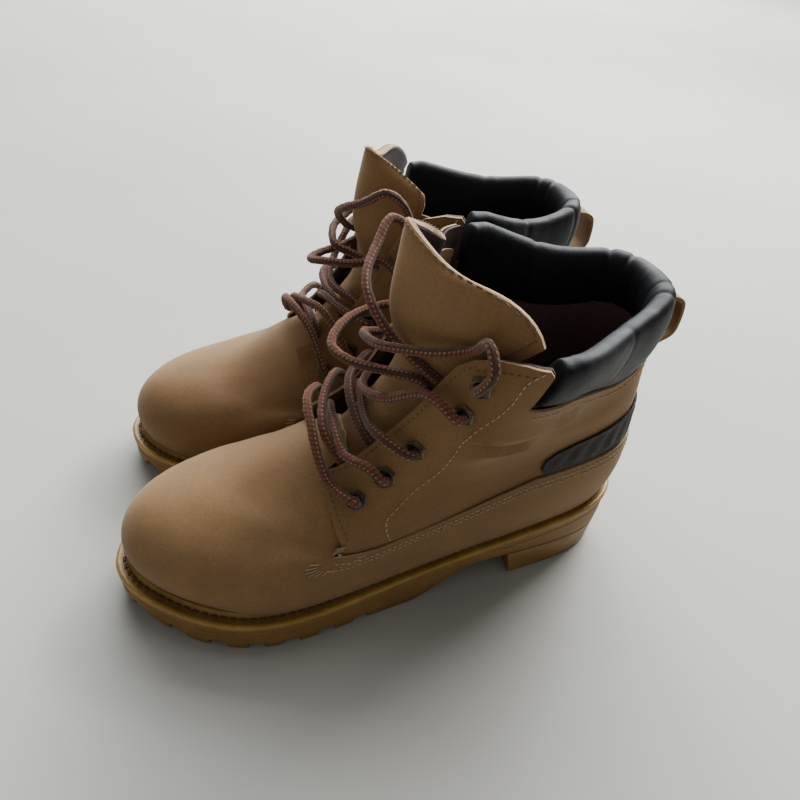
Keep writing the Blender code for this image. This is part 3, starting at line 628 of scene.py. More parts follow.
def smooth_leather():
    n = Nodes("collar_leather")
    v = n.coords()
    grain = n.new("ShaderNodeTexVoronoi", Scale=1500.0)
    n.link(v, grain.inputs["Vector"])
    g = grain.outputs["Distance"]
    crease = n.noise(v, 60, 5, 0.6, 0.8)
    c = n.ramp(crease, (0.35, (0.004, 0.004, 0.005)), (0.7, (0.010, 0.011, 0.014)))
    r = n.ramp(crease, (0.3, (0.50,) * 3), (0.7, (0.64,) * 3))
    nrm = n.bump(g, 0.12, 0.0002)
    nrm = n.bump(crease, 0.30, 0.0018, nrm)
    return n.finish(c, r, nrm, Specular_IOR_Level=0.16)


def lining_cloth():
    n = Nodes("lining_cloth")
    v = n.coords()
    f = n.noise(v, 1100, 5, 0.7)
    c = n.ramp(f, (0.3, (0.055, 0.033, 0.035)), (0.7, (0.11, 0.072, 0.074)))
    return n.finish(c, 0.92, n.bump(f, 0.4, 0.0004), Specular_IOR_Level=0.2)


def suede_brown():
    n = Nodes("flap_suede")
    v = n.coords()
    f = n.noise(v, 800, 6, 0.7)
    big = n.noise(v, 35, 3, 0.5)
    c = n.ramp(big, (0.35, (0.035, 0.017, 0.010)), (0.65, (0.075, 0.040, 0.024)))
    c = n.mix(1.0, c, n.ramp(f, (0.3, (0.75,) * 3), (0.7, (1.2,) * 3)), "MULTIPLY")
    return n.finish(c, 0.93, n.bump(f, 0.5, 0.0005), Sheen_Weight=0.3, Sheen_Roughness=0.5, Specular_IOR_Level=0.2)


def rubber(name, lo, hi, rough=(0.5, 0.75), patch=25.0):
    n = Nodes(name)
    v = n.coords()
    big = n.noise(v, patch, 4, 0.55)
    fine = n.noise(v, 500, 5, 0.6)
    c = n.ramp(big, (0.35, lo), (0.65, hi))
    c = n.mix(1.0, c, n.ramp(fine, (0.35, (0.88,) * 3), (0.65, (1.08,) * 3)), "MULTIPLY")
    r = n.ramp(fine, (0.3, (rough[0],) * 3), (0.7, (rough[1],) * 3))
    return n.finish(c, r, n.bump(fine, 0.25, 0.0004), Specular_IOR_Level=0.4)


def antique_metal(name, lo, hi):
    n = Nodes(name)
    v = n.coords()
    f = n.noise(v, 400, 4, 0.6)
    c = n.ramp(f, (0.35, lo), (0.7, hi))
    r = n.ramp(f, (0.3, (0.32,) * 3), (0.7, (0.55,) * 3))
    return n.finish(c, r, n.bump(f, 0.15, 0.0003), Metallic=0.9)


def lace_braid():
    """Brown braid with rust and cream flecks; the uv map runs along and round the tube."""
    n = Nodes("lace_braid")
    uv = n.new("ShaderNodeUVMap")
    m = n.new("ShaderNodeMapping")
    m.inputs["Scale"].default_value = (1.0, 1.0, 1.0)
    n.link(uv.outputs["UV"], m.inputs["Vector"])
    sep = n.new("ShaderNodeSeparateXYZ")
    n.link(m.outputs["Vector"], sep.inputs[0])

    def math_node(op, a, b=None):
        k = n.new("ShaderNodeMath", operation=op)
        for s, v in ((k.inputs[0], a), (k.inputs[1], b)):
            if v is None:
                continue
            if isinstance(v, (int, float)):
                s.default_value = v
            else:
                n.link(v, s)
        return k.outputs[0]
    # two families of yarns that wind round the braid in opposite ways
    along, round_ = sep.outputs[0], sep.outputs[1]
    p = math_node("ADD", along, round_)
    q = math_node("SUBTRACT", along, round_)
    sp = math_node("SINE", math_node("MULTIPLY", p, 6.2832 * 4))
    sq = math_node("SINE", math_node("MULTIPLY", q, 6.2832 * 4))
    yarn = math_node("MULTIPLY", sp, sq)
    height = math_node("ADD", math_node("MULTIPLY", yarn, 0.5), 0.5)
    # fleck rows: rust on two tracks, cream dots on one
    track = math_node("ABSOLUTE", math_node("SINE", math_node("MULTIPLY", round_, 6.2832)))
    beat = math_node("SINE", math_node("MULTIPLY", p, 6.2832 * 2))
    rust = math_node("MULTIPLY", math_node("GREATER_THAN", track, 0.74), math_node("GREATER_THAN", beat, -0.35))
    band = math_node("MULTIPLY", math_node("GREATER_THAN", track, 0.48), math_node("LESS_THAN", track, 0.74))
    cream = math_node("MULTIPLY", band, math_node("GREATER_THAN", beat, 0.15))
    v = n.coords()
    f = n.noise(v, 900, 4, 0.6)
    brown = n.ramp(f, (0.3, (0.048, 0.019, 0.011)), (0.7, (0.100, 0.042, 0.024)))
    c = n.mix(rust, brown, n.ramp(f, (0.3, (0.13, 0.037, 0.016)), (0.7, (0.215, 0.064, 0.028))))
    c = n.mix(cream, c, (0.25, 0.165, 0.092))
    # the grooves between the yarns are painted darker: painted shade
    c = n.mix(1.0, c, n.ramp(height, (0.0, (0.55,) * 3), (0.6, (1.1,) * 3)), "MULTIPLY")
    return n.finish(c, 0.85, n.bump(height, 0.7, 0.0005), Sheen_Weight=0.15, Specular_IOR_Level=0.25)


def thread(name, colour):
    n = Nodes(name)
    f = n.noise(n.coords((1, 1, 1)), 2500, 3, 0.6)
    c = n.ramp(f, (0.3, tuple(x * 0.75 for x in colour)), (0.7, tuple(min(1, x * 1.2) for x in colour)))
    return n.finish(c, 0.7, n.bump(f, 0.4, 0.0002))


def cork_stuff():
    n = Nodes("cork_stuff")
    f = n.noise(n.coords(), 300, 5, 0.7)
    c = n.ramp(f, (0.35, (0.2, 0.11, 0.05)), (0.65, (0.4, 0.25, 0.13)))
    return n.finish(c, 0.95, n.bump(f, 0.5, 0.0006))


def steel_strip():
    n = Nodes("steel_strip")
    f = n.noise(n.coords((1, 12, 1)), 200, 3, 0.5)
    c = n.ramp(f, (0.35, (0.36, 0.36, 0.38)), (0.65, (0.52, 0.52, 0.54)))
    return n.finish(c, n.ramp(f, (0.3, (0.25,) * 3), (0.7, (0.45,) * 3)), n.bump(f, 0.1, 0.0002), Metallic=1.0)


def pile(name, lo, hi, scale=700):
    n = Nodes(name)
    f = n.noise(n.coords(), scale, 5, 0.7)
    return n.finish(n.ramp(f, (0.3, lo), (0.7, hi)), 0.93, n.bump(f, 0.4, 0.0005), Specular_IOR_Level=0.2)


NUBUCK = nubuck("nubuck", (0.190, 0.106, 0.043), (0.158, 0.086, 0.033), (0.226, 0.132, 0.057), 11)
TONGUE_HIDE = nubuck("tongue_hide", (0.225, 0.127, 0.054), (0.19, 0.104, 0.043), (0.255, 0.149, 0.066), 9)
EDGE = raw_edge("raw_edge", (0.46, 0.32, 0.19))
COLLAR_HIDE = smooth_leather()
LINING = lining_cloth()
SUEDE = suede_brown()
ROAN = thread("tongue_binding", (0.20, 0.10, 0.06))
SOLE = rubber("sole_rubber", (0.165, 0.085, 0.019), (0.225, 0.122, 0.031))
AMBER = rubber("heel_rubber", (0.17, 0.088, 0.018), (0.23, 0.125, 0.030), (0.35, 0.6))
WELT_STUFF = rubber("welt_rubber", (0.21, 0.115, 0.024), (0.29, 0.165, 0.038), (0.42, 0.65), 60)
# the welt's rounded lip gets a lighter copy of the welt rubber: a painted highlight where the lip catches the light
WELT_LIP_HIGHLIGHT = rubber("welt_lip_highlight", (0.27, 0.155, 0.028), (0.36, 0.22, 0.045), (0.32, 0.5), 60)
LABEL_STUFF = rubber("label_rubber", (0.014, 0.010, 0.007), (0.024, 0.018, 0.012), (0.65, 0.85))
METAL = antique_metal("eyelet_metal", (0.035, 0.026, 0.02), (0.12, 0.09, 0.065))
METAL_EDGE = antique_metal("eyelet_edge", (0.10, 0.08, 0.055), (0.20, 0.165, 0.12))
BRAID = lace_braid()
LIGHT_THREAD = thread("light_thread", (0.42, 0.315, 0.19))
BROWN_THREAD = thread("brown_thread", (0.10, 0.055, 0.022))
WELT_THREAD = thread("welt_thread", (0.095, 0.042, 0.014))
BARTACK_THREAD = thread("bartack_thread", (0.26, 0.19, 0.10))
BOARD = pile("fibre_board", (0.2, 0.14, 0.08), (0.33, 0.24, 0.15), 250)
FOAM = pile("footbed_cloth", (0.03, 0.026, 0.022), (0.07, 0.06, 0.05))
CORK = cork_stuff()
STEEL = steel_strip()
PLASTIC = rubber("aglet_plastic", (0.05, 0.03, 0.02), (0.08, 0.05, 0.035), (0.3, 0.4))


# ------------------------------------------------------------------ piece helpers
def wave(u, v, seed, scale):
    """Gentle repeatable unevenness between -1 and 1."""
    rnd = random.Random(seed)
    out = 0
    for k in range(6):
        a, b, c = rnd.uniform(-1, 1), rnd.uniform(-1, 1), rnd.uniform(0, 6.28)
        out = out + np.sin((a * u * 3.0 + b * v) * scale * (1 + 0.35 * k) + c) / (1 + 0.4 * k)
    return out / 3.2


def piece(name, verts, faces, mats, body, node=None, slots=None, bevel=0.0, subdiv=0, angle=40,
          close=False, ride=True):
    """One piece on each boot, from a mesh in the left boot's frame."""
    made = []
    for left in (True, False):
        side = "left_" if left else "right_"
        pts = place(verts, left)
        mesh = bpy.data.meshes.new(side + name)
        mesh.from_pydata([tuple(v) for v in pts], [],
                         [tuple(int(i) for i in (f if left else reversed(f))) for f in faces])
        for m in mats:
            mesh.materials.append(m)
        if slots is not None:
            mesh.polygons.foreach_set("material_index", np.array(slots, np.int32))
        bm = bmesh.new()
        bm.from_mesh(mesh)
        bmesh.ops.remove_doubles(bm, verts=bm.verts, dist=1e-6)
        if close:
            bmesh.ops.holes_fill(bm, edges=[e for e in bm.edges if e.is_boundary], sides=0)
            bmesh.ops.triangulate(bm, faces=[q for q in bm.faces if len(q.verts) > 4])
        for f in bm.faces:
            f.smooth = True
        for e in bm.edges:
            if len(e.link_faces) == 2 and e.calc_face_angle(0) > math.radians(angle):
                e.smooth = False
        bm.to_mesh(mesh)
        bm.free()
        o = bpy.data.objects.new(side + name, mesh)
        bpy.context.collection.objects.link(o)
        if bevel:
            b = o.modifiers.new("edge", "BEVEL")
            b.width = bevel * MM
            b.segments = 2
            b.limit_method = "ANGLE"
            b.angle_limit = math.radians(50)
        if subdiv:
            d = o.modifiers.new("subdiv", "SUBSURF")
            d.levels = d.render_levels = subdiv
        if ride:
            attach(o, side + body)
        if node:
            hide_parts(side + node)
        made.append(o)
    return made


def hide_sheet(loop, outer, inner, holes=(), step=3.4, su=25.6667, sv=12.0):
    """As leather(), but returns which faces are the cut edge."""
    v, f = leather(loop, outer, inner, holes, su, sv, step)
    slots = [0 if len(t) == 3 else 1 for t in f]
    return v, f, slots


def capsule(p, q, r, up, sides=6):
    """A short stitch from p to q, slightly arched along up."""
    p, q = np.array(p), np.array(q)
    d = q - p
    n = np.linalg.norm(d)
    d = d / n
    s = np.cross(d, up)
    s /= np.linalg.norm(s)
    t = np.cross(s, d)
    rings = []
    for k, (x, w) in enumerate(((0.0, 0.35), (0.12, 0.85), (0.35, 1.0), (0.65, 1.0), (0.88, 0.85), (1.0, 0.35))):
        lift = math.sin(math.pi * x) * r * 0.9
        c = p + d * n * x + t * lift
        rings.append([c + (s * math.cos(a) + t * math.sin(a)) * r * w
                      for a in np.arange(sides) * 2 * math.pi / sides])
    verts = [v for ring in rings for v in ring]
    faces = []
    for i in range(len(rings) - 1):
        for k in range(sides):
            m = (k + 1) % sides
            faces.append((i * sides + k, i * sides + m, (i + 1) * sides + m, (i + 1) * sides + k))
    faces.append(tuple(reversed(range(sides))))
    faces.append(tuple(range((len(rings) - 1) * sides, len(rings) * sides)))
    return verts, faces


def merge(parts):
    verts, faces = [], []
    for v, f in parts:
        k = len(verts)
        verts += list(v)
        faces += [tuple(i + k for i in t) for t in f]
    return np.array(verts), faces


def stitch_row(uv, off, length=2.4, gap=0.9, r=0.34, shift=0.0):
    """Stitches along a polyline in (u, v), lying on the surface at off (a number or a function)."""
    fine = curve_through([(a, b, 0) for a, b in uv], 14)[:, :2]
    o = off(fine[:, 0], fine[:, 1]) if callable(off) else np.full(len(fine), float(off))
    line = at(fine[:, 0], fine[:, 1], o)
    n = normal(fine[:, 0], fine[:, 1])
    s = np.concatenate([[0], np.cumsum(np.linalg.norm(np.diff(line, axis=0), axis=1))])
    out, t = [], shift
    while t + length < s[-1]:
        p = [np.interp(t, s, line[:, k]) for k in range(3)]
        q = [np.interp(t + length, s, line[:, k]) for k in range(3)]
        m = [np.interp(t + length / 2, s, n[:, k]) for k in range(3)]
        out.append(capsule(p, q, r, np.array(m)))
        t += length + gap
    return out


def moved(loop, du, dv):
    return [(u + du, v + dv) for u, v in loop]


def hand(row, side):
    return row if side > 0 else [(12 - u, v) for u, v in row]


# ------------------------------------------------------------------ the lace, built first
def laces():
    line = curve_through(LACE, 8)
    seg = np.concatenate([[0], np.cumsum(np.linalg.norm(np.diff(line, axis=0), axis=1))])
    m = int(seg[-1] / 1.15)
    t = np.linspace(0, seg[-1], m)
    line = np.column_stack([np.interp(t, seg, line[:, k]) for k in range(3)])
    for _ in range(6):
        line[1:-1] = line[1:-1] * 0.5 + 0.25 * (line[:-2] + line[2:])
    tan = np.gradient(line, axis=0)
    tan /= np.linalg.norm(tan, axis=1, keepdims=True)
    side = np.cross(tan[0], [0, 0, 1.0])
    side /= np.linalg.norm(side)
    sides, r = 12, LACE_DIAMETER / 2 + 0.2
    verts, uvs, length = [], [], 0.0
    for i in range(m):
        side = side - tan[i] * (side @ tan[i])
        side /= np.linalg.norm(side)
        other = np.cross(tan[i], side)
        if i:
            length += np.linalg.norm(line[i] - line[i - 1])
        turn = 0.6 * math.sin(length / 37.0) + 0.8 * math.sin(length / 90.0)
        for k in range(sides + 1):
            a = 2 * math.pi * k / sides + turn
            rr = r * (1 + 0.05 * math.cos(2 * a + length * 0.9) + 0.02 * math.sin(length * 2.4))
            verts.append(line[i] + (side * math.cos(a) + other * math.sin(a)) * rr)
            uvs.append((length / (LACE_DIAMETER * 1.05), k / sides))
    w = sides + 1
    faces = [(i * w + k, i * w + k + 1, (i + 1) * w + k + 1, (i + 1) * w + k)
             for i in range(m - 1) for k in range(sides)]
    for end, step in ((0, 1), (m - 1, -1)):
        axis = line[end] - line[end + step * 4]
        axis /= np.linalg.norm(axis)
        profile = [(0.15, -0.6), (r + 0.28, -0.6), (r + 0.32, 0.6), (r * 0.82, 2.4), (r * 0.72, 13), (r * 0.45, 14), (0.15, 14)]
        v, f = turned(profile, line[end], axis, 16)
        piece("aglet_%d" % (1 if end == 0 else 2), v, f, [PLASTIC], "boot")
    for n, left in enumerate((True, False)):
        s = "left_" if left else "right_"
        pts = place(verts, left)
        mesh = bpy.data.meshes.new(s + "lace_braid")
        mesh.from_pydata([tuple(p) for p in pts], [], faces if left else [tuple(reversed(f)) for f in faces])
        layer = mesh.uv_layers.new(name="UVMap")
        for loop in mesh.loops:
            layer.data[loop.index].uv = uvs[loop.vertex_index]
        mesh.polygons.foreach_set("use_smooth", [True] * len(mesh.polygons))
        mesh.materials.append(BRAID)
        bm = bmesh.new()
        bm.from_mesh(mesh)
        bmesh.ops.remove_doubles(bm, verts=bm.verts, dist=1e-6)
        bmesh.ops.holes_fill(bm, edges=[e for e in bm.edges if e.is_boundary], sides=0)
        bm.to_mesh(mesh)
        bm.free()
        o = bpy.data.objects.new(s + "lace_braid", mesh)
        bpy.context.collection.objects.link(o)
        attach(o, s + "boot")
        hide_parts(s + "lace")
        path = place(line, left)


laces()


# ------------------------------------------------------------------ sole
def outline(off, count):
    return np.array(plan(off, count))


def ring_solid(rings):
    """A closed body through rings of points (count x 3 each) from the top centre to the bottom centre."""
    n = len(rings[0])
    verts = np.concatenate(rings)
    faces = []
    for r in range(len(rings) - 1):
        for k in range(n):
            m = (k + 1) % n
            faces.append(((r + 1) * n + k, (r + 1) * n + m, r * n + m, r * n + k))
    return verts, faces


def sole_layers():
    n = 420
    full = outline(rim, n)
    zt = welt_top(full[:, 0], full[:, 1])
    centre = np.column_stack([full[:, 0] * 0.25, full[:, 1] * 0.97])

    def inset(d):
        return np.array(plan(lambda x, y: rim(x, y) - d, n))

    def ring(d, z):
        p = inset(d)
        return np.column_stack([p, z(p) if callable(z) else np.full(n, z)])
    # outsole: side wall, lugs notched into its lower half, sunken channel between the lugs
    top = lambda p: welt_top(p[:, 0], p[:, 1]) - WELT_THICK - MIDSOLE_THICK - 2 * LAYER_GAP
    base = inset(1.0)
    y = base[:, 1]
    notch = np.zeros(n)
    for c in np.arange(-120, -6, 19.0):
        notch = np.maximum(notch, smooth(4.0, 2.6, np.abs(y - c)))
    front = y < -131
    notch[front] = np.maximum.reduce([smooth(3.4, 2.4, np.abs(base[front, 0] - c)) for c in (-24, 0, 24)])
    notch = notch * (y < 12)
    tz = tread(y)
    lug_top = tz + LUG_DEPTH + 0.6
    deep = 7.5 * notch
    rows = [np.column_stack([inset(9.0), top(inset(9.0))]), ring(1.5, top), ring(1.0, lambda p: top(p) - 0.5),
            np.column_stack([inset(0.9), np.maximum(lug_top + 2.2, lug_top)]),
            np.column_stack([inset(1.0), lug_top])]
    lug_in = np.array([inset(1.1 + 0), inset(2.2)])

    def shifted(d, z):
        p = np.array(plan(lambda x, yy: rim(x, yy) - d, n))
        q = np.array(plan(lambda x, yy: rim(x, yy) - d - 7.5, n))
        w = notch[:, None]
        r = p * (1 - w) + q * w
        return np.column_stack([r, z])
    rows.append(shifted(1.1, lug_top - 0.1))
    rows.append(shifted(1.3, tz + 0.9))
    rows.append(shifted(2.0, tz + 0.05 + notch * 0.8))
    rows.append(shifted(12.0, tz + 0.05 + notch * 0.8))
    v, f = ring_solid(rows)
    piece("outsole_rubber", v, f, [SOLE], "boot", "outsole", close=True)
    # midsole
    zl = lambda p: welt_top(p[:, 0], p[:, 1]) - WELT_THICK - LAYER_GAP
    rows = [ring(9.0, zl), ring(1.4, zl), ring(0.9, lambda p: zl(p) - 0.4), ring(0.9, lambda p: zl(p) - MIDSOLE_THICK + 0.4),
            ring(1.4, lambda p: zl(p) - MIDSOLE_THICK), ring(9.0, lambda p: zl(p) - MIDSOLE_THICK)]
    v, f = ring_solid(rows)
    piece("midsole_rubber", v, f, [SOLE], "boot", "midsole", close=True)
    # welt: rounded outer lip, a groove for the stitches
    zw = lambda p: welt_top(p[:, 0], p[:, 1])
    inner = np.array(plan(-3.0, n))
    rows = [np.column_stack([inner, zw(inner) + 2.6]), ring(7.6, lambda p: zw(p) + 2.2), ring(6.3, lambda p: zw(p) + 0.9),
            ring(5.7, lambda p: zw(p) - 0.2), ring(3.4, lambda p: zw(p) - 0.35), ring(2.6, zw), ring(1.3, lambda p: zw(p) + 0.15),
            ring(0.5, lambda p: zw(p) - 0.25), ring(0.05, lambda p: zw(p) - 1.0), ring(0.15, lambda p: zw(p) - WELT_THICK + 0.7),
            ring(0.7, lambda p: zw(p) - WELT_THICK), np.column_stack([inner, zw(inner) - WELT_THICK]),
            np.column_stack([inner, zw(inner) + 2.6])]
    v, f = ring_solid(rows)
    # the rows of the rounded lip take the lighter welt rubber, a painted highlight
    slots = [1 if 5 * n <= k < 8 * n else 0 for k in range(len(f))]
    piece("welt_strip", v, f, [WELT_STUFF, WELT_LIP_HIGHLIGHT], "boot", "welt", slots=slots)
    # lock-stitches in the welt's groove: slanted pairs, like a row of small chevrons
    line = inset(4.5)
    z = welt_top(line[:, 0], line[:, 1]) + 0.3
    pts = np.column_stack([line, z])
    s = np.concatenate([[0], np.cumsum(np.linalg.norm(np.diff(np.vstack([pts, pts[:1]]), axis=0), axis=1))])
    loop = np.vstack([pts, pts[:1]])
    out, t = [], 0.0
    while t + 4.2 < s[-1]:
        p = np.array([np.interp(t, s, loop[:, k]) for k in range(3)])
        q = np.array([np.interp(t + 3.9, s, loop[:, k]) for k in range(3)])
        d = (q - p) / np.linalg.norm(q - p)
        w = np.array([-d[1], d[0], 0])
        out.append(capsule(p + w * 1.0, (p + q) / 2 + d * 0.5 - w * 0.6, 0.62, np.array([0, 0, 1.0])))
        out.append(capsule((p + q) / 2 - d * 0.3 - w * 0.6, q + w * 1.0, 0.62, np.array([0, 0, 1.0])))
        t += 5.0
    v, f = merge(out)
    piece("welt_stitches", v, f, [WELT_THREAD], "boot")
    # heel block
    hn = 220
    p = np.array(plan(lambda x, yy: rim(x, yy) - 1.2, 720))
    p = p[p[:, 1] > HEEL_BREAST_Y]
    a, b = p[0], p[-1]
    breast = np.array([(b[0] + (a[0] - b[0]) * k / 24, HEEL_BREAST_Y + 2.2 * math.sin(math.pi * k / 24)) for k in range(1, 24)])
    loop = np.vstack([p, breast])
    c = loop.mean(0)

    def block(shrink, z, lean=0.0):
        q = loop.copy()
        e = q - c
        e = e / np.linalg.norm(e, axis=1, keepdims=True)
        q = q - e * shrink
        q[:, 1] += lean * smooth(HEEL_BREAST_Y + 14, HEEL_BREAST_Y - 2, loop[:, 1])
        q[:, 1] -= 1.8 * (1 - z / HEEL_TOP_Z) * smooth(110, 145, loop[:, 1])
        return np.column_stack([q, np.full(len(q), z)])
    top_z = HEEL_TOP_Z - LAYER_GAP
    rows = [block(6, top_z), block(0.6, top_z), block(0.1, top_z - 0.6), block(0.2, 12, 1.5), block(0.3, 6, 2.8),
            block(0.4, 1.0, 3.8), block(1.2, 0.02, 4.0), block(8, 0.02, 4.0)]
    v, f = ring_solid(rows)
    piece("heel_rubber", v, f, [AMBER], "boot", "heel_block", close=True)


sole_layers()


# ------------------------------------------------------------------ upper
def vamp_out(u, v):
    x = np.where(u % 12 > 6, u % 12 - 12, u % 12)
    # the bend over the toes: two shallow folds across the instep
    fold = 0.9 * np.exp(-((v - 3.9 - 0.35 * x) / 0.28) ** 2) - 0.8 * np.exp(-((v - 4.5 - 0.35 * x) / 0.24) ** 2)
    fold = fold * smooth(1.9, 0.9, np.abs(x)) - 8.0 * smooth(5.55, 6.95, v) * smooth(1.3, 1.0, np.abs(x))
    return wing(u, v) + 0.30 * wave(u, v, 3, 0.9) + 0.12 * wave(u, v, 4, 2.3) + fold * 0.8


def ridge(u, v, u0, u1, line, width, height):
    w = np.where(u % 12 > 6, 12 - u % 12, u % 12)
    env = smooth(u0, u0 + 0.35, w) * smooth(u1, u1 - 0.5, w)
    return height * env * np.exp(-(((v - line(w)) / width) ** 2))


def quarter_out(u, v):
    o = QUARTER_OFF + LEATHER + 0.30 * wave(u, v, 5, 1.1)
    o = o + ridge(u, v, 1.75, 3.9, lambda w: 8.15 + 0.10 * (w - 2), 0.20, 3.2)
    o = o + ridge(u, v, 1.95, 3.5, lambda w: 7.52 + 0.16 * (w - 2), 0.19, 3.0)
    o = o + ridge(u, v, 2.1, 3.1, lambda w: 7.15 + 0.22 * (w - 2), 0.16, 0.9)
    o = o - ridge(u, v, 1.8, 3.7, lambda w: 7.84 + 0.13 * (w - 2), 0.13, 1.7)
    o = o + ridge(u, v, 3.2, 4.9, lambda w: 7.3 - 0.25 * (w - 4), 0.3, 0.8)
    return o


def uppers():
    loop = [(u, 0.02) for u in np.linspace(-5.97, 5.97, 81)]
    # the throat runs on under the laces and sinks to the tongue's root
    throat = [(0.96, 6.15), (0.86, 6.5), (0.45, 6.72), (0.0, 6.78)]
    loop += list(reversed(VAMP_SIDE[1:])) + throat + [(-u, v) for u, v in reversed(throat[:-1])] + [(-u, v) for u, v in VAMP_SIDE[1:]]
    v, f, m = hide_sheet(loop, vamp_out, lambda u, w: vamp_out(u, w) - LEATHER, step=3.4)
    piece("vamp_hide", v, f, [NUBUCK, EDGE], "boot", "vamp", slots=m, bevel=0.3)
    for side, word in ((1, "lateral"), (-1, "medial")):
        loop = QUARTER if side > 0 else mirrored(QUARTER)
        out = quarter_out if side > 0 else (lambda u, w: quarter_out(u, w) + 4.5 * smooth(10.55, 11.0, u % 12) * smooth(7.2, 6.0, w))
        v, f, m = hide_sheet(loop, out, lambda u, w: out(u, w) - LEATHER,
                             [hole_at(a if side > 0 else 12 - a, b, 3.4, 16) for a, b in EYELETS], step=2.7)
        piece("quarter_%s_hide" % word, v, f, [NUBUCK, EDGE], "boot", "quarter_" + word, slots=m, bevel=0.3)
    # lining, with the suede that backs the lacing flaps
    front = [(0.04, 0.7), (0.04, 4.5), (1.5, 4.4), (2.0, 4.9), (2.15, 5.8), (2.1, 6.6)]
    front += [(u + .03, v) for u, v in FLAP_FRONT[3:]]
    right = front + [(2.27, 9.3), (4.0, 9.3), (6.0, 9.3)]
    other = [(12 - u, v) for u, v in reversed(right)][1:]
    low = [(12 - u, 0.7) for u in np.linspace(0.04, 11.96, 61)][1:-1]
    loop = list(reversed(right + other + low))
    holes = [hole_at(a if k > 0 else 12 - a, b, 3.6, 14) for k in (1, -1) for a, b in EYELETS[:3]]
    v, f, m = hide_sheet(loop, lining_outer, lining_inner, holes, step=4.5)
    pts = np.array(v)
    slots = [1 if c[1] < 38 and c[2] > 110 else 0 for c in (pts[list(t)].mean(0) for t in f)]
    piece("lining_cloth", v, f, [LINING, SUEDE], "boot", "lining", slots=slots)
    # collar: a stuffed roll with small creases across it
    rings = []
    for u in np.linspace(2.34, 9.66, 150):
        end = min(1.0, min(u - 2.34, 9.66 - u) / 0.09)
        puff = 0.88 + 0.12 * math.sqrt(max(0.0, 1 - (1 - end) ** 2))
        crease = 0
        for c, w, h in ((3.9, .05, .7), (5.1, .06, 1.2), (5.5, .05, .8), (6.6, .06, 1.1), (7.1, .05, 1.4), (8.4, .06, .8)):
            crease += h * math.exp(-((u - c) / w) ** 2)
        sec = []
        low = 0.3 + 0.7 * float(smooth(0.0, 0.4, min(u - 2.34, 9.66 - u)))
        for (vv, off, up), drop in zip(COLLAR_SECTION, COLLAR_DROP):
            up = up * low
            p = at(np.array(u), np.array(float(vv - drop * collar_low(u))), np.array(off))
            if up:
                t = surface(u, 10.0) - surface(u, 9.9)
                p = p + t / np.linalg.norm(t) * up
            sec.append(p)
        sec = np.array(sec)
        mid = sec.mean(0)
        e = sec - mid
        ln = np.linalg.norm(e, axis=1, keepdims=True)
        dip = np.array([0.3, .6, .9, 1, 1, 1, .8, .5, .2, .2])[:, None]
        swell = 1.5 * np.sin(math.pi * min(1, max(0, (min(u, 12 - u) - 2.6) / 1.2)) / 2) * np.array([0, .5, 1, .6, 0, 0, 0, 0, 0, 0])[:, None]
        wrinkle = 0.12 * float(wave(np.array(u * 6.0), np.array(1.0), 11, 1.0))
        sec = mid + e * puff - e / ln * crease * dip + e / ln * (swell + wrinkle * dip)
        rings.append(sec[::-1])
    v, f = swept(rings)
    for o in piece("collar_roll", v, f, [COLLAR_HIDE], "boot", "collar", subdiv=2, angle=180):
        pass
    # heel label with a plain field of ribs
    loop = LABEL_LOW + LABEL_HALF + [(12 - u, w) for u, w in reversed(LABEL_HALF[:-1])] + [(12 - u, w) for u, w in reversed(LABEL_LOW[1:])]

    def label_out(u, w):
        x = np.minimum(u % 12, 12 - u % 12)
        low = 4.62 + 0.42 * smooth(5.2, 4.0, x) + 0.22
        high = 6.28 - 0.22
        field = smooth(low, low + 0.1, w) * smooth(high, high - 0.1, w) * smooth(4.0, 4.06, x)
        rib = 0.5 + 0.5 * np.tanh(3 * np.sin(2 * math.pi * (x * 4.2)))
        return LABEL_OFF[1] - 0.35 * field + 0.8 * field * rib
    v, f, m = hide_sheet(list(reversed(loop)), label_out, lambda u, w: np.full(len(u), LABEL_OFF[0]), step=1.9, su=60, sv=14)
    piece("heel_label_rubber", v, f, [LABEL_STUFF], "boot", "heel_label", bevel=0.3)
    # strip that covers the seam down the back
    def stay_out(u, w):
        return np.where(w < 4.5, vamp_out(u, w), quarter_out(u, w) * 0 + 2.0) + 0.75 * smooth(0.22, 0.16, np.abs(u % 12 - 6)) + 0.15
    loop = [(5.8, v) for v in np.linspace(8.1, 0.12, 30)] + [(6.2, v) for v in np.linspace(0.12, 8.1, 30)]
    v, f, m = hide_sheet(loop, stay_out, lambda u, w: np.where(w < 4.5, vamp_out(u, w) - 0.9, 0.9), step=3.0, su=60)
    piece("back_strip", v, f, [NUBUCK, EDGE], "boot", slots=m, bevel=0.3)
    # pull loop
    y0 = 132.9
    path = [(y0 + 3.4, 169), (y0 + 10, 168), (y0 + 15, 164.5), (y0 + 16.4, 154), (y0 + 15, 146.5), (y0 + 8, 142), (y0 + 2.4, 139)]
    mid = curve_through([(0, a, b) for a, b in path], 6)[:, 1:]
    t = np.gradient(mid, axis=0)
    nn = np.column_stack([-t[:, 1], t[:, 0]])
    nn /= np.linalg.norm(nn, axis=1, keepdims=True)
    h = PULL_LOOP_WIDTH / 2
    rings = []
    for p, q in zip(mid + nn * 1.0, mid - nn * 1.0):
        rings.append(np.array([(-h, *p), (0, *(p + (p - q) * .06)), (h, *p), (h, *q), (0, *q), (-h, *q)]))
    v, f = swept(rings)
    piece("pull_loop_strap", v, f, [NUBUCK], "boot", "pull_loop", bevel=0.3)
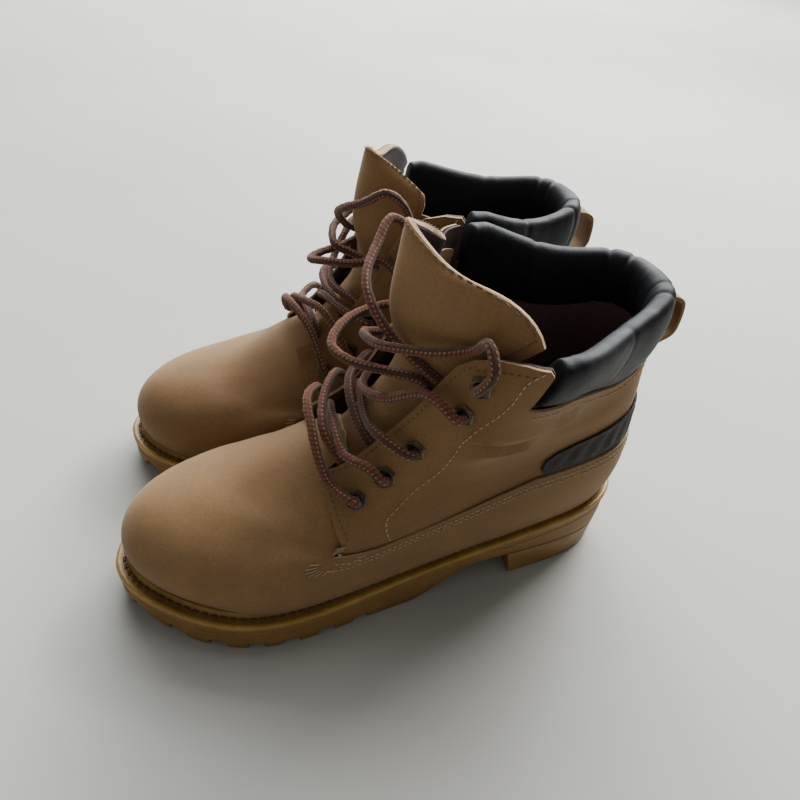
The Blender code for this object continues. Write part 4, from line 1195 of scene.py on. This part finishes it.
    # eyelets
    for side, word in ((1, "lateral"), (-1, "medial")):
        for k, (a, b) in enumerate(EYELETS):
            u = a if side > 0 else 12 - a
            c, n = surface(np.array(u), np.array(b)), normal(np.array(u), np.array(b))
            prof = [(2.7, 0.3), (3.25, 0.3), (3.3, 3.1), (5.5, 2.95), (5.75, 3.2), (5.3, 3.6), (4.5, 3.85), (3.5, 4.05),
                    (2.95, 3.85), (2.72, 3.4)]
            seg = 48
            axis = n / np.linalg.norm(n)
            sd = np.cross(axis, [0, 0, 1.0])
            sd /= np.linalg.norm(sd)
            ot = np.cross(axis, sd)
            lift = 4.2 if side < 0 and b < 6 else 0.0
            verts, faces, mm = [], [], []
            for q in range(seg):
                ang = 2 * math.pi * q / seg
                for kk, (r, hh) in enumerate(prof):
                    if 3 <= kk <= 6:
                        bb = (ang + math.pi / 6) % (math.pi / 3) - math.pi / 6
                        r = r * math.cos(math.pi / 6) / math.cos(bb)
                    verts.append(c + axis * hh + (sd * math.cos(ang) + ot * math.sin(ang)) * r)
            for q in range(seg):
                w = (q + 1) % seg
                for kk in range(len(prof)):
                    nx = (kk + 1) % len(prof)
                    faces.append((q * len(prof) + kk, w * len(prof) + kk, w * len(prof) + nx, q * len(prof) + nx))
                    mm.append(1 if kk in (3, 4) else 0)
            piece("eyelet_ring_%s_%d" % (word, k + 1), np.array(verts), faces, [METAL, METAL_EDGE], "boot",
                  "eyelet_%s_%d" % (word, k + 1), slots=mm, angle=60)


def tongue_pieces():
    ns, nt = 36, 60
    grid = np.array([[tongue_point(4 * a / ns, 5 * b / nt * tongue_trim(4 * a / ns)) for a in range(ns + 1)]
                     for b in range(nt + 1)])
    du, dv = np.gradient(grid, axis=1), np.gradient(grid, axis=0)
    n = np.cross(du, dv)
    n /= np.linalg.norm(n, axis=-1, keepdims=True)
    A, B = np.meshgrid(np.linspace(0, 4, ns + 1), np.linspace(0, 5, nt + 1))
    up = smooth(3.2, 4.4, B)
    # soft lobe at the outer upper corner and a shallow belly across the middle
    grid = grid + n * (0.45 * wave(A, B * 2, 8, 1.3) + 2.0 * up * np.exp(-((A - 3.5) / .5) ** 2))[..., None]
    grid[..., 2] += 3.0 * smooth(3.9, 4.9, B) * np.exp(-((A - 3.45) / 0.5) ** 2)
    reach = (smooth(2.6, 4.0, A) * smooth(2.8, 4.8, B))[..., None]
    grid = grid + reach * np.array([7.5, 5.5, 7.0])
    edge = np.minimum.reduce([A / 0.10, (4 - A) / 0.10, (5 - B) / 0.08, np.full(A.shape, 1.0)])
    edge = np.clip(edge, 0, 1)
    full = TONGUE_THICK + 1.2 * up
    thick = full * (0.62 + 0.38 * np.sqrt(np.clip(1 - (1 - edge) ** 2, 0, 1)))
    front = (grid - n * (full - thick)[..., None] * 0.5).reshape(-1, 3)
    back = (grid - n * (full - (full - thick) * 0.5)[..., None]).reshape(-1, 3)
    w = ns + 1
    tri = []
    for t in range(nt):
        for q in range(ns):
            a = t * w + q
            tri.append((a, a + 1, a + w + 1, a + w))
    v = np.concatenate([front, back])
    k = len(front)
    faces = list(tri) + [tuple(i + k for i in reversed(t)) for t in tri]
    border = [(i, 0) for i in range(nt + 1)] + [(nt, j) for j in range(1, ns + 1)] + [(i, ns) for i in range(nt - 1, -1, -1)] + [(0, j) for j in range(ns - 1, 0, -1)]
    ids = [i * w + j for i, j in border]
    slots = [0] * len(tri) + [1] * len(tri)
    for a, b in zip(ids, ids[1:] + ids[:1]):
        faces.append((a, b, b + k, a + k))
        slots.append(2)
    piece("tongue_hide", v, faces, [TONGUE_HIDE, SUEDE, EDGE], "tongue", "tongue", slots=slots, bevel=0.5)
    # piping just inside the free edge
    rim_path = [(i, 1) for i in range(int(nt * .5), nt)] + [(nt - 1, j) for j in range(2, ns - 1)] + [(i, ns - 1) for i in range(nt - 1, int(nt * .5), -1)]
    rim_line = np.array([grid[i, j] + n[i, j] * 0.15 for i, j in rim_path])
    out = []
    for a in range(0, len(rim_line) - 1, 1):
        out.append(capsule(rim_line[a], rim_line[a] + (rim_line[a + 1] - rim_line[a]) * 0.62, 0.3, n[rim_path[a]]))
    v, f = merge(out)
    piece("tongue_stitches", v, f, [BROWN_THREAD], "tongue")
    # bellows from the shaft and the throat to the tongue's sides and root
    edge_pts, wall_pts = [], []
    ts = np.linspace(4.25, 0.0, 34)
    for t in ts:
        i = int(round(t / 5 * nt))
        vv = 9.55 - (4.25 - t) / 4.25 * 3.4
        edge_pts.append(grid[i, ns] - n[i, ns] * TONGUE_THICK * 0.5)
        wall_pts.append(at(np.array(2.0 - 0.25 * smooth(8.5, 6.4, vv)), np.array(vv), np.array(-5.2)))
    for a in range(1, ns):
        s4 = 4 - 4 * a / ns
        edge_pts.append(grid[0, ns - a] - n[0, ns - a] * 0.2)
        u = (s4 - 2) * 0.8
        wall_pts.append(at(np.array(u), np.array(6.5 - 0.1 * abs(u)), np.array(-8.6)))
    for t in ts[::-1]:
        i = int(round(t / 5 * nt))
        vv = 9.55 - (4.25 - t) / 4.25 * 3.4
        edge_pts.append(grid[i, 0] - n[i, 0] * TONGUE_THICK * 0.5)
        wall_pts.append(at(np.array(10.0 + 0.25 * smooth(8.5, 6.4, vv)), np.array(vv), np.array(-5.2)))
    edge_pts, wall_pts = np.array(edge_pts), np.array(wall_pts)
    for _ in range(3):
        wall_pts[1:-1] = wall_pts[1:-1] * 0.5 + 0.25 * (wall_pts[:-2] + wall_pts[2:])
    rows = []
    for x in np.linspace(0, 1, 9):
        p = wall_pts * (1 - x) + edge_pts * x
        rows.append(p + np.array([0, -0.3, 1.0]) * 1.0 * math.sin(math.pi * x))
    rows = np.array(rows)
    gr = np.cross(np.gradient(rows, axis=1), np.gradient(rows, axis=0))
    gr /= np.linalg.norm(gr, axis=-1, keepdims=True) + 1e-9
    m = rows.shape[1]
    a = (rows + gr * 0.5).reshape(-1, 3)
    b = (rows - gr * 0.5).reshape(-1, 3)
    quads = [(r * m + c, r * m + c + 1, (r + 1) * m + c + 1, (r + 1) * m + c) for r in range(8) for c in range(m - 1)]
    k = len(a)
    faces = list(quads) + [tuple(i + k for i in reversed(q)) for q in quads]
    loop = [c for c in range(m)] + [r * m + m - 1 for r in range(1, 9)] + [8 * m + c for c in range(m - 2, -1, -1)] + [r * m for r in range(7, 0, -1)]
    faces += [(x, x + k, y + k, y) for x, y in zip(loop, loop[1:] + loop[:1])]
    made = piece("tongue_bellows", np.concatenate([a, b]), faces, [TONGUE_HIDE], "boot", angle=60, ride=False)
    for o, left in zip(made, (True, False)):
        start, end = place(np.array([(0, -48.0, 85.0), (0, 10.0, 175.0)]), left)
        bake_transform(o)


def stitching():
    light, brown, tack = [], [], []
    top = lambda u, v: quarter_out(u, v) + 0.05
    wingtop = lambda u, v: vamp_out(u, v) + 0.05
    eyestay = [(2.10, 9.9), (1.98, 9.6), (2.0, 9.12), (1.98, 8.68), (1.92, 8.12), (2.04, 7.5), (2.19, 6.85), (2.24, 6.05),
               (2.30, 5.35), (2.34, 5.0), (2.60, 4.2), (2.78, 3.62)]
    edge_row = [(u + 0.09, v) for u, v in FLAP_FRONT[:10]]
    topedge = [(1.40, 9.25), (1.62, 9.5), (1.9, 9.7), (2.12, 9.78)]
    low_front = [(1.16, 5.78), (1.40, 5.58), (1.76, 5.10), (2.12, 4.45), (2.26, 4.1)]
    wing1 = [(2.35, 3.28), (2.6, 3.12), (2.85, 3.25), (3.1, 3.55), (3.4, 3.95), (3.7, 4.32), (4.0, 4.55), (4.5, 4.4), (5.2, 4.2), (5.9, 4.15)]
    wing2 = [(u, v - 0.34) for u, v in wing1]
    for side in (1, -1):
        light += stitch_row(hand(eyestay, side), top, 2.4, 1.2, 0.36)
        brown += stitch_row(hand(edge_row, side), top, 1.6, 1.6, 0.26)
        brown += stitch_row(hand(topedge, side), top, 1.6, 1.6, 0.26)
        brown += stitch_row(hand(low_front, side), top, 1.6, 1.8, 0.26)
        light += stitch_row(hand(wing1, side), wingtop, 2.1, 1.1, 0.33)
        light += stitch_row(hand(wing2, side), wingtop, 2.1, 1.1, 0.33, 1.2)
        collar_row = [(2.45, 8.86), (3.1, 8.84), (3.7, 8.5), (4.3, 8.1), (4.8, 8.0), (5.9, 7.98)]
        light += stitch_row(hand(collar_row, side), top, 2.2, 1.3, 0.30)
        # short rays round the foot of the facing
        for k in range(11):
            a = math.radians(185 + k * 17)
            du, dv = math.cos(a), math.sin(a)
            p = (2.36 + du * 0.16, 3.42 + dv * 0.42)
            q = (2.36 + du * 0.25, 3.42 + dv * 0.68)
            if side < 0:
                p, q = (12 - p[0], p[1]), (12 - q[0], q[1])
            P, Q = [at(np.array(x), np.array(y), np.array(float(vamp_out(np.array(x), np.array(y))) + 0.05)) for x, y in (p, q)]
            light.append(capsule(P, Q, 0.24, normal(np.array(p[0]), np.array(p[1]))))
        # bartack: a small knot of thread
        for k in range(4):
            u0, v0 = 2.22 + 0.012 * k, 3.98 - 0.075 * k
            p, q = (u0 - 0.035, v0 - 0.03), (u0 + 0.045, v0 + 0.05)
            if side < 0:
                p, q = (12 - p[0], p[1]), (12 - q[0], q[1])
            P, Q = [at(np.array(x), np.array(y), np.array(2.3)) for x, y in (p, q)]
            tack.append(capsule(P, Q, 0.42, normal(np.array(p[0]), np.array(p[1]))))
        knot = at(np.array(2.3 if side > 0 else 9.7), np.array(3.66), np.array(3.4))
        nn = normal(np.array(2.3 if side > 0 else 9.7), np.array(3.66))
        tack.append(turned([(0.05, -0.5), (0.9, -0.4), (1.15, 0.2), (0.8, 0.7), (0.05, 0.9)], knot, nn, 14))
    v, f = merge(light)
    piece("light_stitches", v, f, [LIGHT_THREAD], "boot")
    v, f = merge(brown)
    piece("brown_stitches", v, f, [BROWN_THREAD], "boot")
    v, f = merge(tack)
    piece("bartacks", v, f, [BARTACK_THREAD], "boot")


uppers()
tongue_pieces()
stitching()

# ------------------------------------------------------------------ carried-over CAD nodes
for word in ("left_", "right_"):
    for node, mat in (("cork_filler", CORK), ("shank", STEEL), ("insole_board", BOARD), ("footbed", FOAM),
                      ("toe_puff", BOARD), ("heel_counter", BOARD)):
        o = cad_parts[word + node]
        for slot in o.material_slots:
            slot.material = mat


# ------------------------------------------------------------------ floor and light
def stage():
    n = Nodes("floor_paint")
    f = n.noise(n.coords(), 2.5, 3, 0.5)
    mat = n.finish(n.ramp(f, (0.3, (0.37, 0.365, 0.33)), (0.7, (0.41, 0.405, 0.372))), 0.8, Specular_IOR_Level=0.3)
    seg = 64
    verts = [(0, 0, -0.0002)] + [(40 * math.cos(2 * math.pi * k / seg), 40 * math.sin(2 * math.pi * k / seg), -0.0002) for k in range(seg)]
    mesh = bpy.data.meshes.new("floor")
    mesh.from_pydata(verts, [], [(0, k + 1, (k + 1) % seg + 1) for k in range(seg)])
    mesh.materials.append(mat)
    o = bpy.data.objects.new("floor", mesh)
    bpy.context.collection.objects.link(o)


stage()


def area(name, pos, target, size, power, colour):
    l = bpy.data.lights.new(name, "AREA")
    l.shape = "RECTANGLE"
    l.size, l.size_y = size
    l.energy = power
    l.color = colour
    o = bpy.data.objects.new(name, l)
    o.location = pos
    o.rotation_euler = (Vector(target) - Vector(pos)).to_track_quat("-Z", "Y").to_euler()
    bpy.context.collection.objects.link(o)
    return o


area("back_light", (-0.75, 1.15, 1.25), (0, 0.02, 0.05), (0.8, 0.6), 42, (1.0, 1.0, 1.0))
area("top_light", (-0.5, 0.1, 1.7), (0, 0, 0.0), (0.9, 0.9), 8, (1.0, 1.0, 1.0))
area("far_wash", (-3.0, 1.2, 2.0), (-2.6, 1.0, 0), (4.0, 4.0), 400, (0.96, 0.985, 1.0))
area("distance_wash", (-6.5, 2.4, 3.4), (-6.0, 2.2, 0), (7.0, 7.0), 900, (0.96, 0.985, 1.0))
area("front_fill", (1.4, -1.2, 0.9), (0, 0, 0.1), (1.5, 1.0), 2.6, (1.0, 0.86, 0.68))
world = bpy.data.worlds.new("world")
bpy.context.scene.world = world
world.use_nodes = True
world.node_tree.nodes["Background"].inputs["Color"].default_value = (0.93, 0.95, 0.96, 1)
world.node_tree.nodes["Background"].inputs["Strength"].default_value = 0.25
